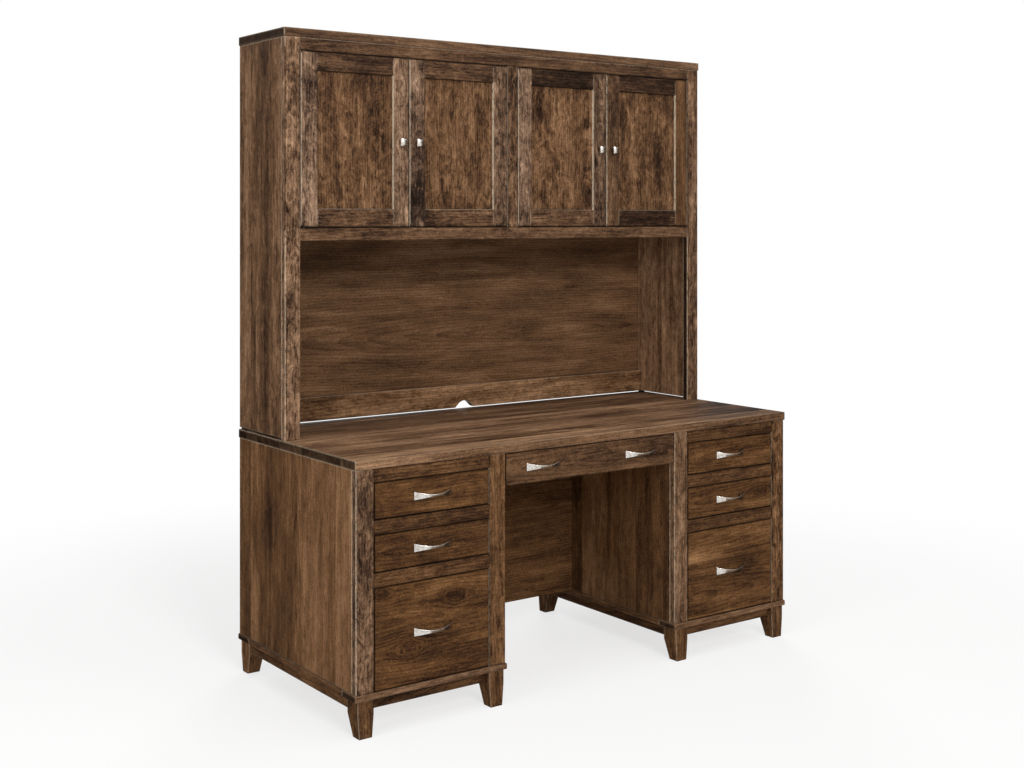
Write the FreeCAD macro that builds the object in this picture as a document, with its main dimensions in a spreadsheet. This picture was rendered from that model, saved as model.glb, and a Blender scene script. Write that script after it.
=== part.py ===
# Desk with a hutch: two drawer pedestals and a centre drawer under one top,
# and above it a cabinet with four doors over an open bay.
# X runs to the right along the front, Y to the back and Z up.
# The origin lies on the floor under the middle of the whole piece.

import FreeCAD
import Part
import os
import re

# Driving sizes in millimetres
SIZES = {
    # desk top
    "desk_width": 1676,
    "desk_depth": 736,
    "desk_height": 762,
    "top_thickness": 27,
    "top_overhang": 4,
    "slab_edge_radius": 2.5,
    # pedestals
    "pedestal_width": 500,
    "side_thickness": 22,
    "frame_thickness": 22,
    "pedestal_stile": 57,
    "top_rail": 38,
    "drawer_rail": 41,
    "small_opening": 104,
    "pedestal_back": 9,
    "board_edge_radius": 1,
    # feet
    "base_board_width": 73,
    "base_board_thickness": 18,
    "base_projection": 5,
    "base_edge_radius": 4,
    "leg_height": 103,
    "leg_width": 50,
    "leg_depth": 57,
    "leg_inset": 6,
    "leg_straight": 40,
    "leg_side_taper": 5,
    "leg_depth_taper": 22,
    "apron_height": 31,
    "apron_thickness": 18,
    "front_apron_setback": 18,
    "side_apron_setback": 4,
    # kneehole
    "modesty_setback": 206,
    "modesty_thickness": 18,
    # drawers
    "reveal": 2,
    "drawer_front_thickness": 20,
    "drawer_side_thickness": 15,
    "drawer_end_thickness": 15,
    "drawer_bottom_thickness": 6,
    "drawer_bottom_lift": 8,
    "drawer_bottom_groove": 6,
    "box_clearance": 3,
    "box_lift": 8,
    "small_box_height": 88,
    "file_box_height": 240,
    "pedestal_box_rear_gap": 143,
    "centre_front_height": 97,
    "centre_box_gap": 13,
    "centre_box_drop": 16,
    "centre_box_height": 64,
    "centre_box_rear_gap": 46,
    # wooden drawer runners
    "runner_height": 16,
    "runner_bite": 7,
    "runner_end_clearance": 1,
    "runner_top_clearance": 0.3,
    "runner_low_clearance": 0.7,
    "small_runner_lift": 44,
    "file_runner_lift": 150,
    "centre_runner_lift": 32,
    # drawer pulls
    "pull_length": 128,
    "pull_projection": 26,
    "pull_height": 24,
    "pull_waist": 6,
    "pull_strap": 4,
    "pull_foot": 24,
    "pull_spacing": 96,
    "centre_pull_margin": 142,
    # screws of the pulls and knobs
    "screw_radius": 2,
    "screw_bite": 8,
    "screw_hole_clearance": 0.3,
    "screw_head_radius": 4.5,
    "screw_head_height": 2.5,
    # hutch case
    "overall_height": 1990,
    "crown_thickness": 27,
    "crown_side_overhang": 4,
    "crown_front_overhang": 2,
    "hutch_depth": 310,
    "hutch_stile": 51,
    "hutch_mid_stile": 41,
    "hutch_top_rail": 38,
    "hutch_low_rail": 39,
    "bay_height": 593,
    "deck_thickness": 20,
    "divider_thickness": 20,
    "hutch_back": 6,
    "back_rail_thickness": 18,
    "back_rail_height": 83,
    "notch_radius": 36,
    "notch_height": 29,
    # pads that carry the hutch
    "pad_height": 6,
    "pad_length": 18,
    "pad_margin": 4,
    # shelves
    "shelf_thickness": 18,
    "shelf_rise": 262,
    "shelf_setback": 16,
    "shelf_gap": 1,
    "pin_radius": 2.5,
    "pin_insert": 8,
    "pin_reach": 7,
    "pin_margin": 40,
    # doors
    "meeting_gap": 4,
    "door_thickness": 20,
    "door_member": 56,
    "panel_thickness": 6,
    "panel_setback": 8,
    "panel_groove": 9,
    "panel_tongue": 8,
    # door hinges
    "leaf_length": 42,
    "leaf_width": 9,
    "leaf_thickness": 2,
    "leaf_inset": 3,
    "pivot_inset": 12,
    "pivot_depth": 6,
    "pivot_radius": 2.5,
    "pivot_clearance": 0.05,
    "pivot_end_clearance": 0.3,
    "collar_radius": 4,
    "collar_clearance": 0.2,
    # door knobs
    "knob_width": 24,
    "knob_waist": 19.5,
    "knob_projection": 24,
    "knob_head": 9,
    "knob_rise": 4,
    "knob_root": 12,
    "knob_shoulder": 19,
    # cutters reach this far past the faces they cut
    "cut_margin": 1,
}

# Planes and sizes worked out from the driving sizes
LAYOUT = {
    "half_width": "desk_width / 2",
    "pedestal_outer": "half_width - top_overhang",
    "pedestal_inner": "pedestal_outer - pedestal_width",
    "outer_wall": "pedestal_outer - side_thickness",
    "inner_wall": "pedestal_inner + side_thickness",
    "opening_outer": "pedestal_outer - pedestal_stile",
    "opening_inner": "pedestal_inner + pedestal_stile",
    "pedestal_middle": "(pedestal_outer + pedestal_inner) / 2",
    "back_plane": "(desk_depth - top_overhang + pull_projection) / 2",
    "top_front": "back_plane - desk_depth",
    "front_plane": "top_front + top_overhang",
    "frame_back": "front_plane + frame_thickness",
    "base_top": "leg_height + base_board_thickness",
    "top_under": "desk_height - top_thickness",
    "top_drawer_high": "top_under - top_rail",
    "top_drawer_low": "top_drawer_high - small_opening",
    "middle_drawer_high": "top_drawer_low - drawer_rail",
    "middle_drawer_low": "middle_drawer_high - small_opening",
    "file_drawer_high": "middle_drawer_low - drawer_rail",
    "file_drawer_low": "base_top",
    "centre_front_low": "top_under - centre_front_height",
    "centre_box_low": "top_under - centre_box_drop - centre_box_height",
    "front_back": "front_plane + drawer_front_thickness",
    "groove_depth": "runner_bite + runner_end_clearance",
    "modesty_front": "back_plane - modesty_setback",
    "pedestal_box_length": "back_plane - pedestal_back - pedestal_box_rear_gap - front_back",
    "centre_box_length": "modesty_front - centre_box_rear_gap - front_back",
    "centre_pull_offset": "pedestal_inner - centre_pull_margin",
    "base_front": "front_plane - base_projection",
    "base_outer": "pedestal_outer + base_projection",
    "base_inner": "pedestal_inner - base_projection",
    "leg_outer": "pedestal_outer - leg_inset",
    "leg_inner": "pedestal_inner + leg_inset",
    "screw_hole_radius": "screw_radius + screw_hole_clearance",
    "pull_outer_radius": "((pull_length / 2) ^ 2 + pull_projection ^ 2) / (2 * pull_projection)",
    "pull_flare_rise": "(pull_height - pull_waist) / 2",
    "pull_flare_radius": "((pull_length / 2) ^ 2 + pull_flare_rise ^ 2) / (2 * pull_flare_rise)",
    "pull_inner_half": "pull_length / 2 - pull_foot",
    "pull_inner_rise": "pull_projection - pull_strap",
    "pull_inner_radius": "(pull_inner_half ^ 2 + pull_inner_rise ^ 2) / (2 * pull_inner_rise)",
    "hutch_front": "back_plane - hutch_depth",
    "hutch_frame_back": "hutch_front + frame_thickness",
    "hutch_back_face": "back_plane - hutch_back",
    "hutch_foot": "desk_height + pad_height",
    "hutch_opening_outer": "pedestal_outer - hutch_stile",
    "hutch_opening_inner": "hutch_mid_stile / 2",
    "crown_low": "overall_height - crown_thickness",
    "crown_half": "pedestal_outer + crown_side_overhang",
    "door_space_high": "crown_low - hutch_top_rail",
    "low_rail_low": "desk_height + bay_height",
    "door_space_low": "low_rail_low + hutch_low_rail",
    "back_rail_front": "hutch_back_face - back_rail_thickness",
    "notch_flank_half": "notch_radius * sqrt(0.5)",
    "notch_flank_height": "notch_height - notch_radius + notch_flank_half",
    "notch_half": "notch_flank_half + notch_flank_height",
    "shelf_low": "door_space_low + shelf_rise",
    "shelf_front": "hutch_frame_back + shelf_setback",
    "shelf_rear": "hutch_back_face - shelf_gap",
    "door_low": "door_space_low + reveal",
    "door_high": "door_space_high - reveal",
    "door_middle": "(door_low + door_high) / 2",
    "door_width": "(hutch_opening_outer - hutch_opening_inner - 2 * reveal - meeting_gap) / 2",
    "door_back": "hutch_front + door_thickness",
    "panel_front": "hutch_front + panel_setback",
    "panel_back": "panel_front + panel_thickness",
    "pivot_line": "hutch_front + pivot_depth",
    "knob_radius": "((knob_width / 2) ^ 2 + knob_rise ^ 2) / (2 * knob_rise)",
    "knob_pinch_rise": "(knob_width - knob_waist) / 2",
    "knob_pinch_radius": "((knob_width / 2) ^ 2 + knob_pinch_rise ^ 2) / (2 * knob_pinch_rise)",
    "knob_neck": "knob_projection - knob_head",
}

LEFT = -1
RIGHT = 1
UP = 1
DOWN = -1
SIDES = ((LEFT, "left"), (RIGHT, "right"))

# How far the middle of a box's edge lies from the middle of the box, as signs on X, Y and Z
FACES = {
    "left": FreeCAD.Vector(-1, 0, 0),
    "right": FreeCAD.Vector(1, 0, 0),
    "front": FreeCAD.Vector(0, -1, 0),
    "back": FreeCAD.Vector(0, 1, 0),
    "low": FreeCAD.Vector(0, 0, -1),
    "top": FreeCAD.Vector(0, 0, 1),
}
FRONT_EDGES = ("front left", "front right", "front low", "front top")
UPRIGHT_EDGES = ("front left", "front right", "back left", "back right")
END_EDGES = ("left low", "left top", "right low", "right top")
LEVEL_EDGES = END_EDGES + ("front low", "front top", "back low", "back top")

# Distances below this count as none
SAME_PLACE = 1e-6

# Turns that lay a round bar along an axis
BAR_TURNS = {
    "x": FreeCAD.Rotation(FreeCAD.Vector(0, 1, 0), 90),
    "y": FreeCAD.Rotation(FreeCAD.Vector(1, 0, 0), -90),
    "z": FreeCAD.Rotation(),
}
# Turns that point a wedge, which narrows along its own Y
WEDGE_UP = FreeCAD.Rotation(FreeCAD.Vector(1, 0, 0), 90)
WEDGE_FORWARD = FreeCAD.Rotation(FreeCAD.Vector(0, 0, 1), 180)

document = FreeCAD.newDocument("desk_with_hutch")
nodes = {}


def sheet_words(text, own_sheet=None):
    """Return an expression with each size name led by the sheet that holds it."""
    def lead(match):
        word = match.group(0)
        for sheet_name, names in (("Sizes", SIZES), ("Layout", LAYOUT)):
            if word in names and sheet_name != own_sheet:
                return "%s.%s" % (sheet_name, word)
        return word
    return re.sub(r"[a-z][a-z_]*", lead, text)


def fill_sheet(name, cells):
    """Add a spreadsheet with one named cell for each entry."""
    sheet = document.addObject("Spreadsheet::Sheet", name)
    for row, (alias, content) in enumerate(cells.items(), start=1):
        sheet.set("A%d" % row, alias)
        sheet.set("B%d" % row, content)
        sheet.setAlias("B%d" % row, alias)
    document.recompute()
    return sheet


sizes_sheet = fill_sheet("Sizes", {name: str(value) for name, value in SIZES.items()})
fill_sheet("Layout", {name: "=" + sheet_words(text, "Layout") for name, text in LAYOUT.items()})


def bind(piece, **values):
    """Bind properties of a piece to expressions in the size names."""
    for name, text in values.items():
        piece.setExpression(name, sheet_words(text))


def put(piece, spot):
    """Bind a piece's position to three expressions."""
    for axis, text in zip("xyz", spot):
        piece.setExpression("Placement.Base." + axis, sheet_words(text))


def block(name, x, y, z):
    """Add a box; each axis gives its low and its high plane."""
    piece = document.addObject("Part::Box", name)
    for size, (low, high) in zip(("Length", "Width", "Height"), (x, y, z)):
        piece.setExpression(size, sheet_words("(%s) - (%s)" % (high, low)))
    put(piece, (x[0], y[0], z[0]))
    return piece


def bar(name, axis, radius, start, length):
    """Add a round bar that runs along an axis from its start."""
    piece = document.addObject("Part::Cylinder", name)
    piece.Placement = FreeCAD.Placement(FreeCAD.Vector(), BAR_TURNS[axis])
    bind(piece, Radius=radius, Height=length)
    put(piece, start)
    return piece


def wedge(name, turn, start, reach, near, far):
    """Add a wedge along its own Y; near and far are its X and Z spans at the two ends."""
    piece = document.addObject("Part::Wedge", name)
    piece.Placement = FreeCAD.Placement(FreeCAD.Vector(), turn)
    bind(piece, Ymin=reach[0], Ymax=reach[1])
    bind(piece, Xmin=near[0][0], Xmax=near[0][1], Zmin=near[1][0], Zmax=near[1][1])
    bind(piece, X2min=far[0][0], X2max=far[0][1], Z2min=far[1][0], Z2max=far[1][1])
    put(piece, start)
    return piece


def upright_taper(name, z, low_x, low_y, high_x, high_y):
    """Add a solid that runs from one rectangle up to another."""
    near = (low_x, ("-(%s)" % low_y[1], "-(%s)" % low_y[0]))
    far = (high_x, ("-(%s)" % high_y[1], "-(%s)" % high_y[0]))
    return wedge(name, WEDGE_UP, ("0", "0", "0"), z, near, far)


def fuse(name, *pieces):
    """Join overlapping or touching pieces into one solid."""
    joined = document.addObject("Part::MultiFuse", name)
    joined.Shapes = list(pieces)
    joined.Refine = True
    return joined


def cut(name, base, *tools):
    """Take one or more tools out of a piece."""
    result = document.addObject("Part::Cut", name)
    result.Base = base
    result.Tool = tools[0] if len(tools) == 1 else fuse(name + "_tools", *tools)
    return result


def overlap(name, base, tool):
    """Keep what two pieces share."""
    result = document.addObject("Part::Common", name)
    result.Base = base
    result.Tool = tool
    return result


def sign(value):
    """Return -1, 0 or 1 for a distance."""
    if abs(value) < SAME_PLACE:
        return 0
    return 1 if value > 0 else -1


def ease(piece, radius_name, edge_names):
    """Round edges of a box, each named by the two faces that meet there."""
    piece.recompute()
    radius = sizes_sheet.get(radius_name)
    middle = piece.Shape.BoundBox.Center
    wanted = []
    for edge_name in edge_names:
        first, second = edge_name.split()
        wanted.append(FACES[first] + FACES[second])
    picked = []
    for number, edge in enumerate(piece.Shape.Edges, start=1):
        away = edge.CenterOfMass - middle
        if FreeCAD.Vector(sign(away.x), sign(away.y), sign(away.z)) in wanted:
            picked.append((number, radius, radius))
    rounded = document.addObject("Part::Fillet", piece.Name + "_eased")
    rounded.Base = piece
    rounded.Edges = picked
    return rounded


def node(label, *pieces):
    """Name a sub-part; several solids are kept apart as a group."""
    piece = pieces[0]
    if len(pieces) > 1:
        piece = document.addObject("Part::Compound", label + "_group")
        piece.Links = list(pieces)
    piece.Label = label
    nodes[label] = piece


def across(side, near, far):
    """Return the X span between two distances from the middle, on one side."""
    if side == RIGHT:
        return near, far
    return "-(%s)" % far, "-(%s)" % near


def about(middle, half):
    """Return the span that reaches a half size to either side of a middle."""
    return "%s - (%s)" % (middle, half), "%s + (%s)" % (middle, half)


def outer_face(side):
    """Return the name of the face that looks away from the middle."""
    return "right" if side == RIGHT else "left"


def build_desk_case():
    """Build the top, the pedestals' panels and face frames, and the modesty panel."""
    full_depth = ("top_front", "back_plane")
    slab = block("top_slab", ("-half_width", "half_width"), full_depth, ("top_under", "desk_height"))
    node("desk_top", ease(slab, "slab_edge_radius", UPRIGHT_EDGES + LEVEL_EDGES))

    panel_depth = ("frame_back", "back_plane")
    frame_depth = ("front_plane", "frame_back")
    back_depth = ("back_plane - pedestal_back", "back_plane")
    case_height = ("base_top", "top_under")
    backs = []
    for side, word in SIDES:
        seam = ["front " + outer_face(side)]
        outer_span = across(side, "outer_wall", "pedestal_outer")
        outer = block(word + "_outer_panel", outer_span, panel_depth, case_height)
        outer = ease(outer, "board_edge_radius", seam)
        inner_span = across(side, "pedestal_inner", "inner_wall")
        inner_seam = ["front " + outer_face(-side)]
        inner = block(word + "_inner_panel", inner_span, panel_depth, case_height)
        inner = ease(inner, "board_edge_radius", inner_seam)
        node(word + "_pedestal_sides", outer, inner)

        members = []
        stile_spans = (
            (across(side, "opening_outer", "pedestal_outer"), outer_face(side)),
            (across(side, "pedestal_inner", "opening_inner"), outer_face(-side)),
        )
        for span, free_face in stile_spans:
            stile = block(word + "_stile", span, frame_depth, case_height)
            edges = ("front left", "front right", "back " + free_face)
            members.append(ease(stile, "board_edge_radius", edges))
        rail_span = across(side, "opening_inner", "opening_outer")
        rail_heights = (
            ("top_drawer_high", "top_under"),
            ("middle_drawer_high", "top_drawer_low"),
            ("file_drawer_high", "middle_drawer_low"),
        )
        for height in rail_heights:
            rail = block(word + "_rail", rail_span, frame_depth, height)
            members.append(ease(rail, "board_edge_radius", ["front low"]))
        node(word + "_face_frame", *members)

        back_span = across(side, "inner_wall", "outer_wall")
        backs.append(block(word + "_back", back_span, back_depth, case_height))
    node("pedestal_backs", *backs)

    modesty_depth = ("modesty_front", "modesty_front + modesty_thickness")
    kneehole = ("-pedestal_inner", "pedestal_inner")
    node("modesty_panel", block("modesty_board", kneehole, modesty_depth, case_height))


def build_feet():
    """Build the flat base frames, the aprons below them and the tapered legs."""
    boards = []
    aprons = []
    legs = []
    base_height = ("leg_height", "base_top")
    apron_height = ("leg_height - apron_height", "leg_height")
    straight = ("leg_height - leg_straight", "leg_height")
    front_y = ("base_front", "base_front + base_board_width")
    rear_y = ("back_plane - base_board_width", "back_plane")
    front_leg = ("front_plane", "front_plane + leg_depth")
    front_foot = (front_leg[0], front_leg[1] + " - leg_depth_taper")
    rear_leg = ("back_plane - leg_depth", "back_plane")
    rear_foot = (rear_leg[0] + " + leg_depth_taper", rear_leg[1])
    for side, word in SIDES:
        full_span = across(side, "base_inner", "base_outer")
        front = block(word + "_base_front", full_span, front_y, base_height)
        boards.append(ease(front, "base_edge_radius", END_EDGES + FRONT_EDGES))
        rear = block(word + "_base_rear", full_span, rear_y, base_height)
        boards.append(ease(rear, "base_edge_radius", END_EDGES))
        side_spans = (
            (across(side, "base_outer - base_board_width", "base_outer"), outer_face(side)),
            (across(side, "base_inner", "base_inner + base_board_width"), outer_face(-side)),
        )
        for span, free_face in side_spans:
            board = block(word + "_base_side", span, (front_y[1], rear_y[0]), base_height)
            boards.append(ease(board, "base_edge_radius", [free_face + " low", free_face + " top"]))

        cross_span = across(side, "leg_inner + leg_width", "leg_outer - leg_width")
        front_face = "front_plane + front_apron_setback"
        rear_face = "back_plane - front_apron_setback"
        cross_depths = (
            (front_face, front_face + " + apron_thickness"),
            (rear_face + " - apron_thickness", rear_face),
        )
        for depth in cross_depths:
            aprons.append(block(word + "_cross_apron", cross_span, depth, apron_height))
        outer_edge = "leg_outer - side_apron_setback"
        inner_edge = "leg_inner + side_apron_setback"
        apron_spans = (
            across(side, outer_edge + " - apron_thickness", outer_edge),
            across(side, inner_edge, inner_edge + " + apron_thickness"),
        )
        for span in apron_spans:
            aprons.append(block(word + "_side_apron", span, (front_leg[1], rear_leg[0]), apron_height))

        leg_spans = (
            across(side, "leg_outer - leg_width", "leg_outer"),
            across(side, "leg_inner", "leg_inner + leg_width"),
        )
        for span in leg_spans:
            foot_span = (span[0] + " + leg_side_taper", span[1] + " - leg_side_taper")
            for depth, foot_depth in ((front_leg, front_foot), (rear_leg, rear_foot)):
                head = block(word + "_leg_head", span, depth, straight)
                taper_height = ("0", straight[0])
                shin = upright_taper(word + "_leg_taper", taper_height, foot_span, foot_depth, span, depth)
                legs.append(fuse(word + "_leg", head, shin))
    node("base_frames", *boards)
    node("base_aprons", *aprons)
    node("legs", *legs)


def screw(name, x, z, tip, seat):
    """Add a screw along Y from its tip to its head, which sits on the seat plane."""
    shank = bar(name + "_shank", "y", "screw_radius", (x, tip, z), "(%s) - (%s)" % (seat, tip))
    head = bar(name + "_head", "y", "screw_head_radius", (x, seat, z), "screw_head_height")
    return fuse(name, shank, head)


def screw_hole(name, x, z, depth):
    """Add the cutter for a screw's clearance hole through a span of Y."""
    length = "(%s) - (%s) + 2 * cut_margin" % (depth[1], depth[0])
    return bar(name, "y", "screw_hole_radius", (x, "%s - cut_margin" % depth[0], z), length)


def pull(name, x, z):
    """Build an arched strap pull that narrows to its middle; return the pull."""
    top_and_low = about(z, "pull_height / 2 + cut_margin")
    outer_axis = (x, "front_plane + pull_outer_radius - pull_projection", top_and_low[0])
    outer = bar(name + "_outer", "z", "pull_outer_radius", outer_axis, "pull_height + 2 * cut_margin")
    reach = ("front_plane - pull_projection", "front_plane")
    before = block(name + "_before", about(x, "pull_length / 2"), reach, top_and_low)
    inner_axis = (x, "front_plane + pull_inner_radius - pull_inner_rise", top_and_low[0] + " - cut_margin")
    inner = bar(name + "_inner", "z", "pull_inner_radius", inner_axis, "pull_height + 4 * cut_margin")
    arch = cut(name + "_arch", overlap(name + "_segment", outer, before), inner)

    flares = []
    for way in (UP, DOWN):
        flare_z = "(%s) + (%d) * (pull_waist / 2 + pull_flare_radius)" % (z, way)
        flare_spot = (x, "front_plane - pull_projection - cut_margin", flare_z)
        flares.append(bar(name + "_flare", "y", "pull_flare_radius", flare_spot, "pull_projection + 2 * cut_margin"))
    strap = cut(name + "_strap", arch, *flares)
    sockets = []
    for hand in (LEFT, RIGHT):
        socket_spot = ("%s + (%d) * pull_spacing / 2" % (x, hand), "front_plane - screw_bite", z)
        sockets.append(bar(name + "_socket", "y", "screw_radius", socket_spot, "screw_bite + cut_margin"))
    return cut(name, strap, *sockets)


def build_drawer(label, opening, walls, front_z, box_z, box_gap, box_length, runner_lift, pull_spots):
    """Build one drawer and return its two runners.

    opening and walls are X spans, front_z and box_z are Z spans, pull_spots are X positions.
    """
    front_y = ("front_plane", "front_back")
    front_span = (opening[0] + " + reveal", opening[1] + " - reveal")
    face = ease(block(label + "_face", front_span, front_y, front_z), "board_edge_radius", FRONT_EDGES)

    outer = ("%s + %s" % (opening[0], box_gap), "%s - %s" % (opening[1], box_gap))
    inner = (outer[0] + " + drawer_side_thickness", outer[1] + " - drawer_side_thickness")
    box_y = ("front_back", "front_back + " + box_length)
    end_y = ("front_back", "front_back + drawer_end_thickness")
    rear_y = (box_y[1] + " - drawer_end_thickness", box_y[1])
    floor_low = box_z[0] + " + drawer_bottom_lift"
    floor_z = (floor_low, floor_low + " + drawer_bottom_thickness")
    floor_x = (inner[0] + " - drawer_bottom_groove", inner[1] + " + drawer_bottom_groove")
    floor_y = (end_y[1] + " - drawer_bottom_groove", box_y[1])
    runner_z = ("%s + %s" % (box_z[0], runner_lift), "%s + %s + runner_height" % (box_z[0], runner_lift))
    slot_z = (runner_z[0] + " - runner_low_clearance", runner_z[1] + " + runner_top_clearance")
    slot_y = (box_y[0] + " - cut_margin", box_y[1] + " + cut_margin")
    runner_y = ("frame_back", "frame_back + " + box_length)

    side_spans = (
        (outer[0], inner[0], outer[0] + " - cut_margin", outer[0] + " + groove_depth"),
        (inner[1], outer[1], outer[1] + " - groove_depth", outer[1] + " + cut_margin"),
    )
    pieces = []
    for low, high, slot_low, slot_high in side_spans:
        side_board = block(label + "_side_board", (low, high), box_y, box_z)
        slot = block(label + "_slot", (slot_low, slot_high), slot_y, slot_z)
        seat = block(label + "_side_seat", floor_x, floor_y, floor_z)
        pieces.append(cut(label + "_side", side_board, slot, seat))

    middle_z = "(%s + %s) / 2" % front_z
    handles = []
    screws = []
    face_holes = []
    end_holes = []
    for x in pull_spots:
        handles.append(pull(label + "_handle", x, middle_z))
        for hand in (LEFT, RIGHT):
            screw_x = "%s + (%d) * pull_spacing / 2" % (x, hand)
            screws.append(screw(label + "_screw", screw_x, middle_z, "front_plane - screw_bite", end_y[1]))
            face_holes.append(screw_hole(label + "_face_hole", screw_x, middle_z, front_y))
            end_holes.append(screw_hole(label + "_end_hole", screw_x, middle_z, end_y))

    end_board = block(label + "_end_board", inner, end_y, box_z)
    end_seat = block(label + "_end_seat", floor_x, floor_y, floor_z)
    pieces.append(cut(label + "_end", end_board, end_seat, *end_holes))
    pieces.append(block(label + "_rear", inner, rear_y, (floor_z[1], box_z[1])))
    pieces.append(block(label + "_floor", floor_x, floor_y, floor_z))

    node(label + "_front", cut(label + "_drilled_face", face, *face_holes))
    node(label + "_box", *pieces)
    node(label + "_pull" if len(pull_spots) == 1 else label + "_pulls", *handles, *screws)

    runner_spans = (
        (walls[0], outer[0] + " + runner_bite"),
        (outer[1] + " - runner_bite", walls[1]),
    )
    return [block(label + "_runner", span, runner_y, runner_z) for span in runner_spans]


def build_drawers():
    """Build the six pedestal drawers, the centre drawer and the runners they slide on."""
    runners = []
    tiers = (
        ("top", "small_box_height", "small_runner_lift"),
        ("middle", "small_box_height", "small_runner_lift"),
        ("file", "file_box_height", "file_runner_lift"),
    )
    for side, word in SIDES:
        for tier, box_height, runner_lift in tiers:
            low = tier + "_drawer_low"
            high = tier + "_drawer_high"
            runners += build_drawer(
                "%s_%s_drawer" % (word, tier),
                opening=across(side, "opening_inner", "opening_outer"),
                walls=across(side, "inner_wall", "outer_wall"),
                front_z=(low + " + reveal", high + " - reveal"),
                box_z=(low + " + box_lift", "%s + box_lift + %s" % (low, box_height)),
                box_gap="box_clearance",
                box_length="pedestal_box_length",
                runner_lift=runner_lift,
                pull_spots=["(%d) * pedestal_middle" % side],
            )
    kneehole = ("-pedestal_inner", "pedestal_inner")
    runners += build_drawer(
        "centre_drawer",
        opening=kneehole,
        walls=kneehole,
        front_z=("centre_front_low", "top_under - reveal"),
        box_z=("centre_box_low", "centre_box_low + centre_box_height"),
        box_gap="centre_box_gap",
        box_length="centre_box_length",
        runner_lift="centre_runner_lift",
        pull_spots=["(%d) * centre_pull_offset" % side for side, word in SIDES],
    )
    node("drawer_runners", *runners)


def along(edge, inward, near, far):
    """Return the X span between two distances from a door's hinge edge."""
    if inward == RIGHT:
        return "%s + %s" % (edge, near), "%s + %s" % (edge, far)
    return "%s - (%s)" % (edge, far), "%s - (%s)" % (edge, near)


def spot_along(edge, inward, distance):
    """Return the X position at a distance from a door's hinge edge."""
    return "%s + (%d) * (%s)" % (edge, inward, distance)


# Each door: its name, the X of its hinge edge and the way it runs from there
DOORS = (
    ("left_outer_door", "-(hutch_opening_outer - reveal)", RIGHT),
    ("left_inner_door", "-(hutch_opening_inner + reveal)", LEFT),
    ("right_inner_door", "(hutch_opening_inner + reveal)", RIGHT),
    ("right_outer_door", "(hutch_opening_outer - reveal)", LEFT),
)
LEAF_Y = about("pivot_line", "leaf_width / 2")
FRAME_LEAF_TOP = ("door_space_high", "door_space_high + leaf_thickness")
FRAME_LEAF_LOW = ("door_space_low - leaf_thickness", "door_space_low")
DOOR_LEAF_TOP = ("door_high - leaf_thickness", "door_high")
DOOR_LEAF_LOW = ("door_low", "door_low + leaf_thickness")


def leaf_span(edge, inward):
    """Return the X span of a hinge leaf."""
    return along(edge, inward, "leaf_inset", "leaf_inset + leaf_length")


def build_hutch_case():
    """Build the hutch's crown, sides, back, face frame, deck, divider, shelves and pads."""
    crown_depth = ("hutch_front - crown_front_overhang", "back_plane")
    crown = block("crown_slab", ("-crown_half", "crown_half"), crown_depth, ("crown_low", "overall_height"))
    node("hutch_top", ease(crown, "slab_edge_radius", UPRIGHT_EDGES + LEVEL_EDGES))

    case_height = ("hutch_foot", "crown_low")
    side_depth = ("hutch_frame_back", "back_plane")
    pin_lines = ("shelf_front + pin_margin", "shelf_rear - pin_margin")
    pin_level = "shelf_low - pin_radius"
    pins = []
    shelves = []
    pads = []
    divider_holes = []
    for side, word in SIDES:
        panel_span = across(side, "outer_wall", "pedestal_outer")
        panel = block("hutch_%s_panel" % word, panel_span, side_depth, case_height)
        panel = ease(panel, "board_edge_radius", ["front " + outer_face(side)])
        wall_holes = []
        hole_sides = (
            ("outer_wall - pin_reach", "outer_wall + pin_insert", wall_holes),
            ("divider_thickness / 2 - pin_insert", "divider_thickness / 2 + pin_reach", divider_holes),
        )
        for near, far, holes in hole_sides:
            low, high = across(side, near, far)
            pin_length = "(%s) - (%s)" % (high, low)
            for y in pin_lines:
                pins.append(bar("shelf_pin", "x", "pin_radius", (low, y, pin_level), pin_length))
                holes.append(bar("pin_hole", "x", "pin_radius", (low, y, pin_level), pin_length))
        node("hutch_%s_side" % word, cut("hutch_%s_drilled" % word, panel, *wall_holes))

        shelf_span = across(side, "divider_thickness / 2 + shelf_gap", "outer_wall - shelf_gap")
        shelf = block(word + "_shelf", shelf_span, ("shelf_front", "shelf_rear"),
                      ("shelf_low", "shelf_low + shelf_thickness"))
        shelves.append(ease(shelf, "board_edge_radius", ["front low", "front top"]))

        pad_span = across(side, "outer_wall + pad_margin", "pedestal_outer - pad_margin")
        pad_depths = (
            ("hutch_frame_back + pad_margin", "hutch_frame_back + pad_margin + pad_length"),
            ("back_plane - pad_margin - pad_length", "back_plane - pad_margin"),
        )
        for depth in pad_depths:
            pads.append(block(word + "_pad", pad_span, depth, ("desk_height", "hutch_foot")))
    node("shelf_pins", *pins)
    node("hutch_shelves", *shelves)
    node("hutch_pads", *pads)

    inside = ("-outer_wall", "outer_wall")
    inside_depth = ("hutch_frame_back", "hutch_back_face")
    back = block("hutch_back_board", inside, ("hutch_back_face", "back_plane"), case_height)
    node("hutch_back", cut("hutch_notched_back", back, cord_notch("back_notch")))
    rail_height = ("hutch_foot", "desk_height + back_rail_height")
    back_rail = block("back_rail_board", inside, ("back_rail_front", "hutch_back_face"), rail_height)
    back_rail = ease(back_rail, "board_edge_radius", ["front top"])
    node("hutch_back_rail", cut("notched_back_rail", back_rail, cord_notch("rail_notch")))

    deck = block("deck_board", inside, inside_depth, ("door_space_low - deck_thickness", "door_space_low"))
    node("hutch_deck", deck)
    divider_span = about("0", "divider_thickness / 2")
    divider = block("divider_board", divider_span, inside_depth, ("door_space_low", "crown_low"))
    node("hutch_divider", cut("drilled_divider", divider, *divider_holes))


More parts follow.
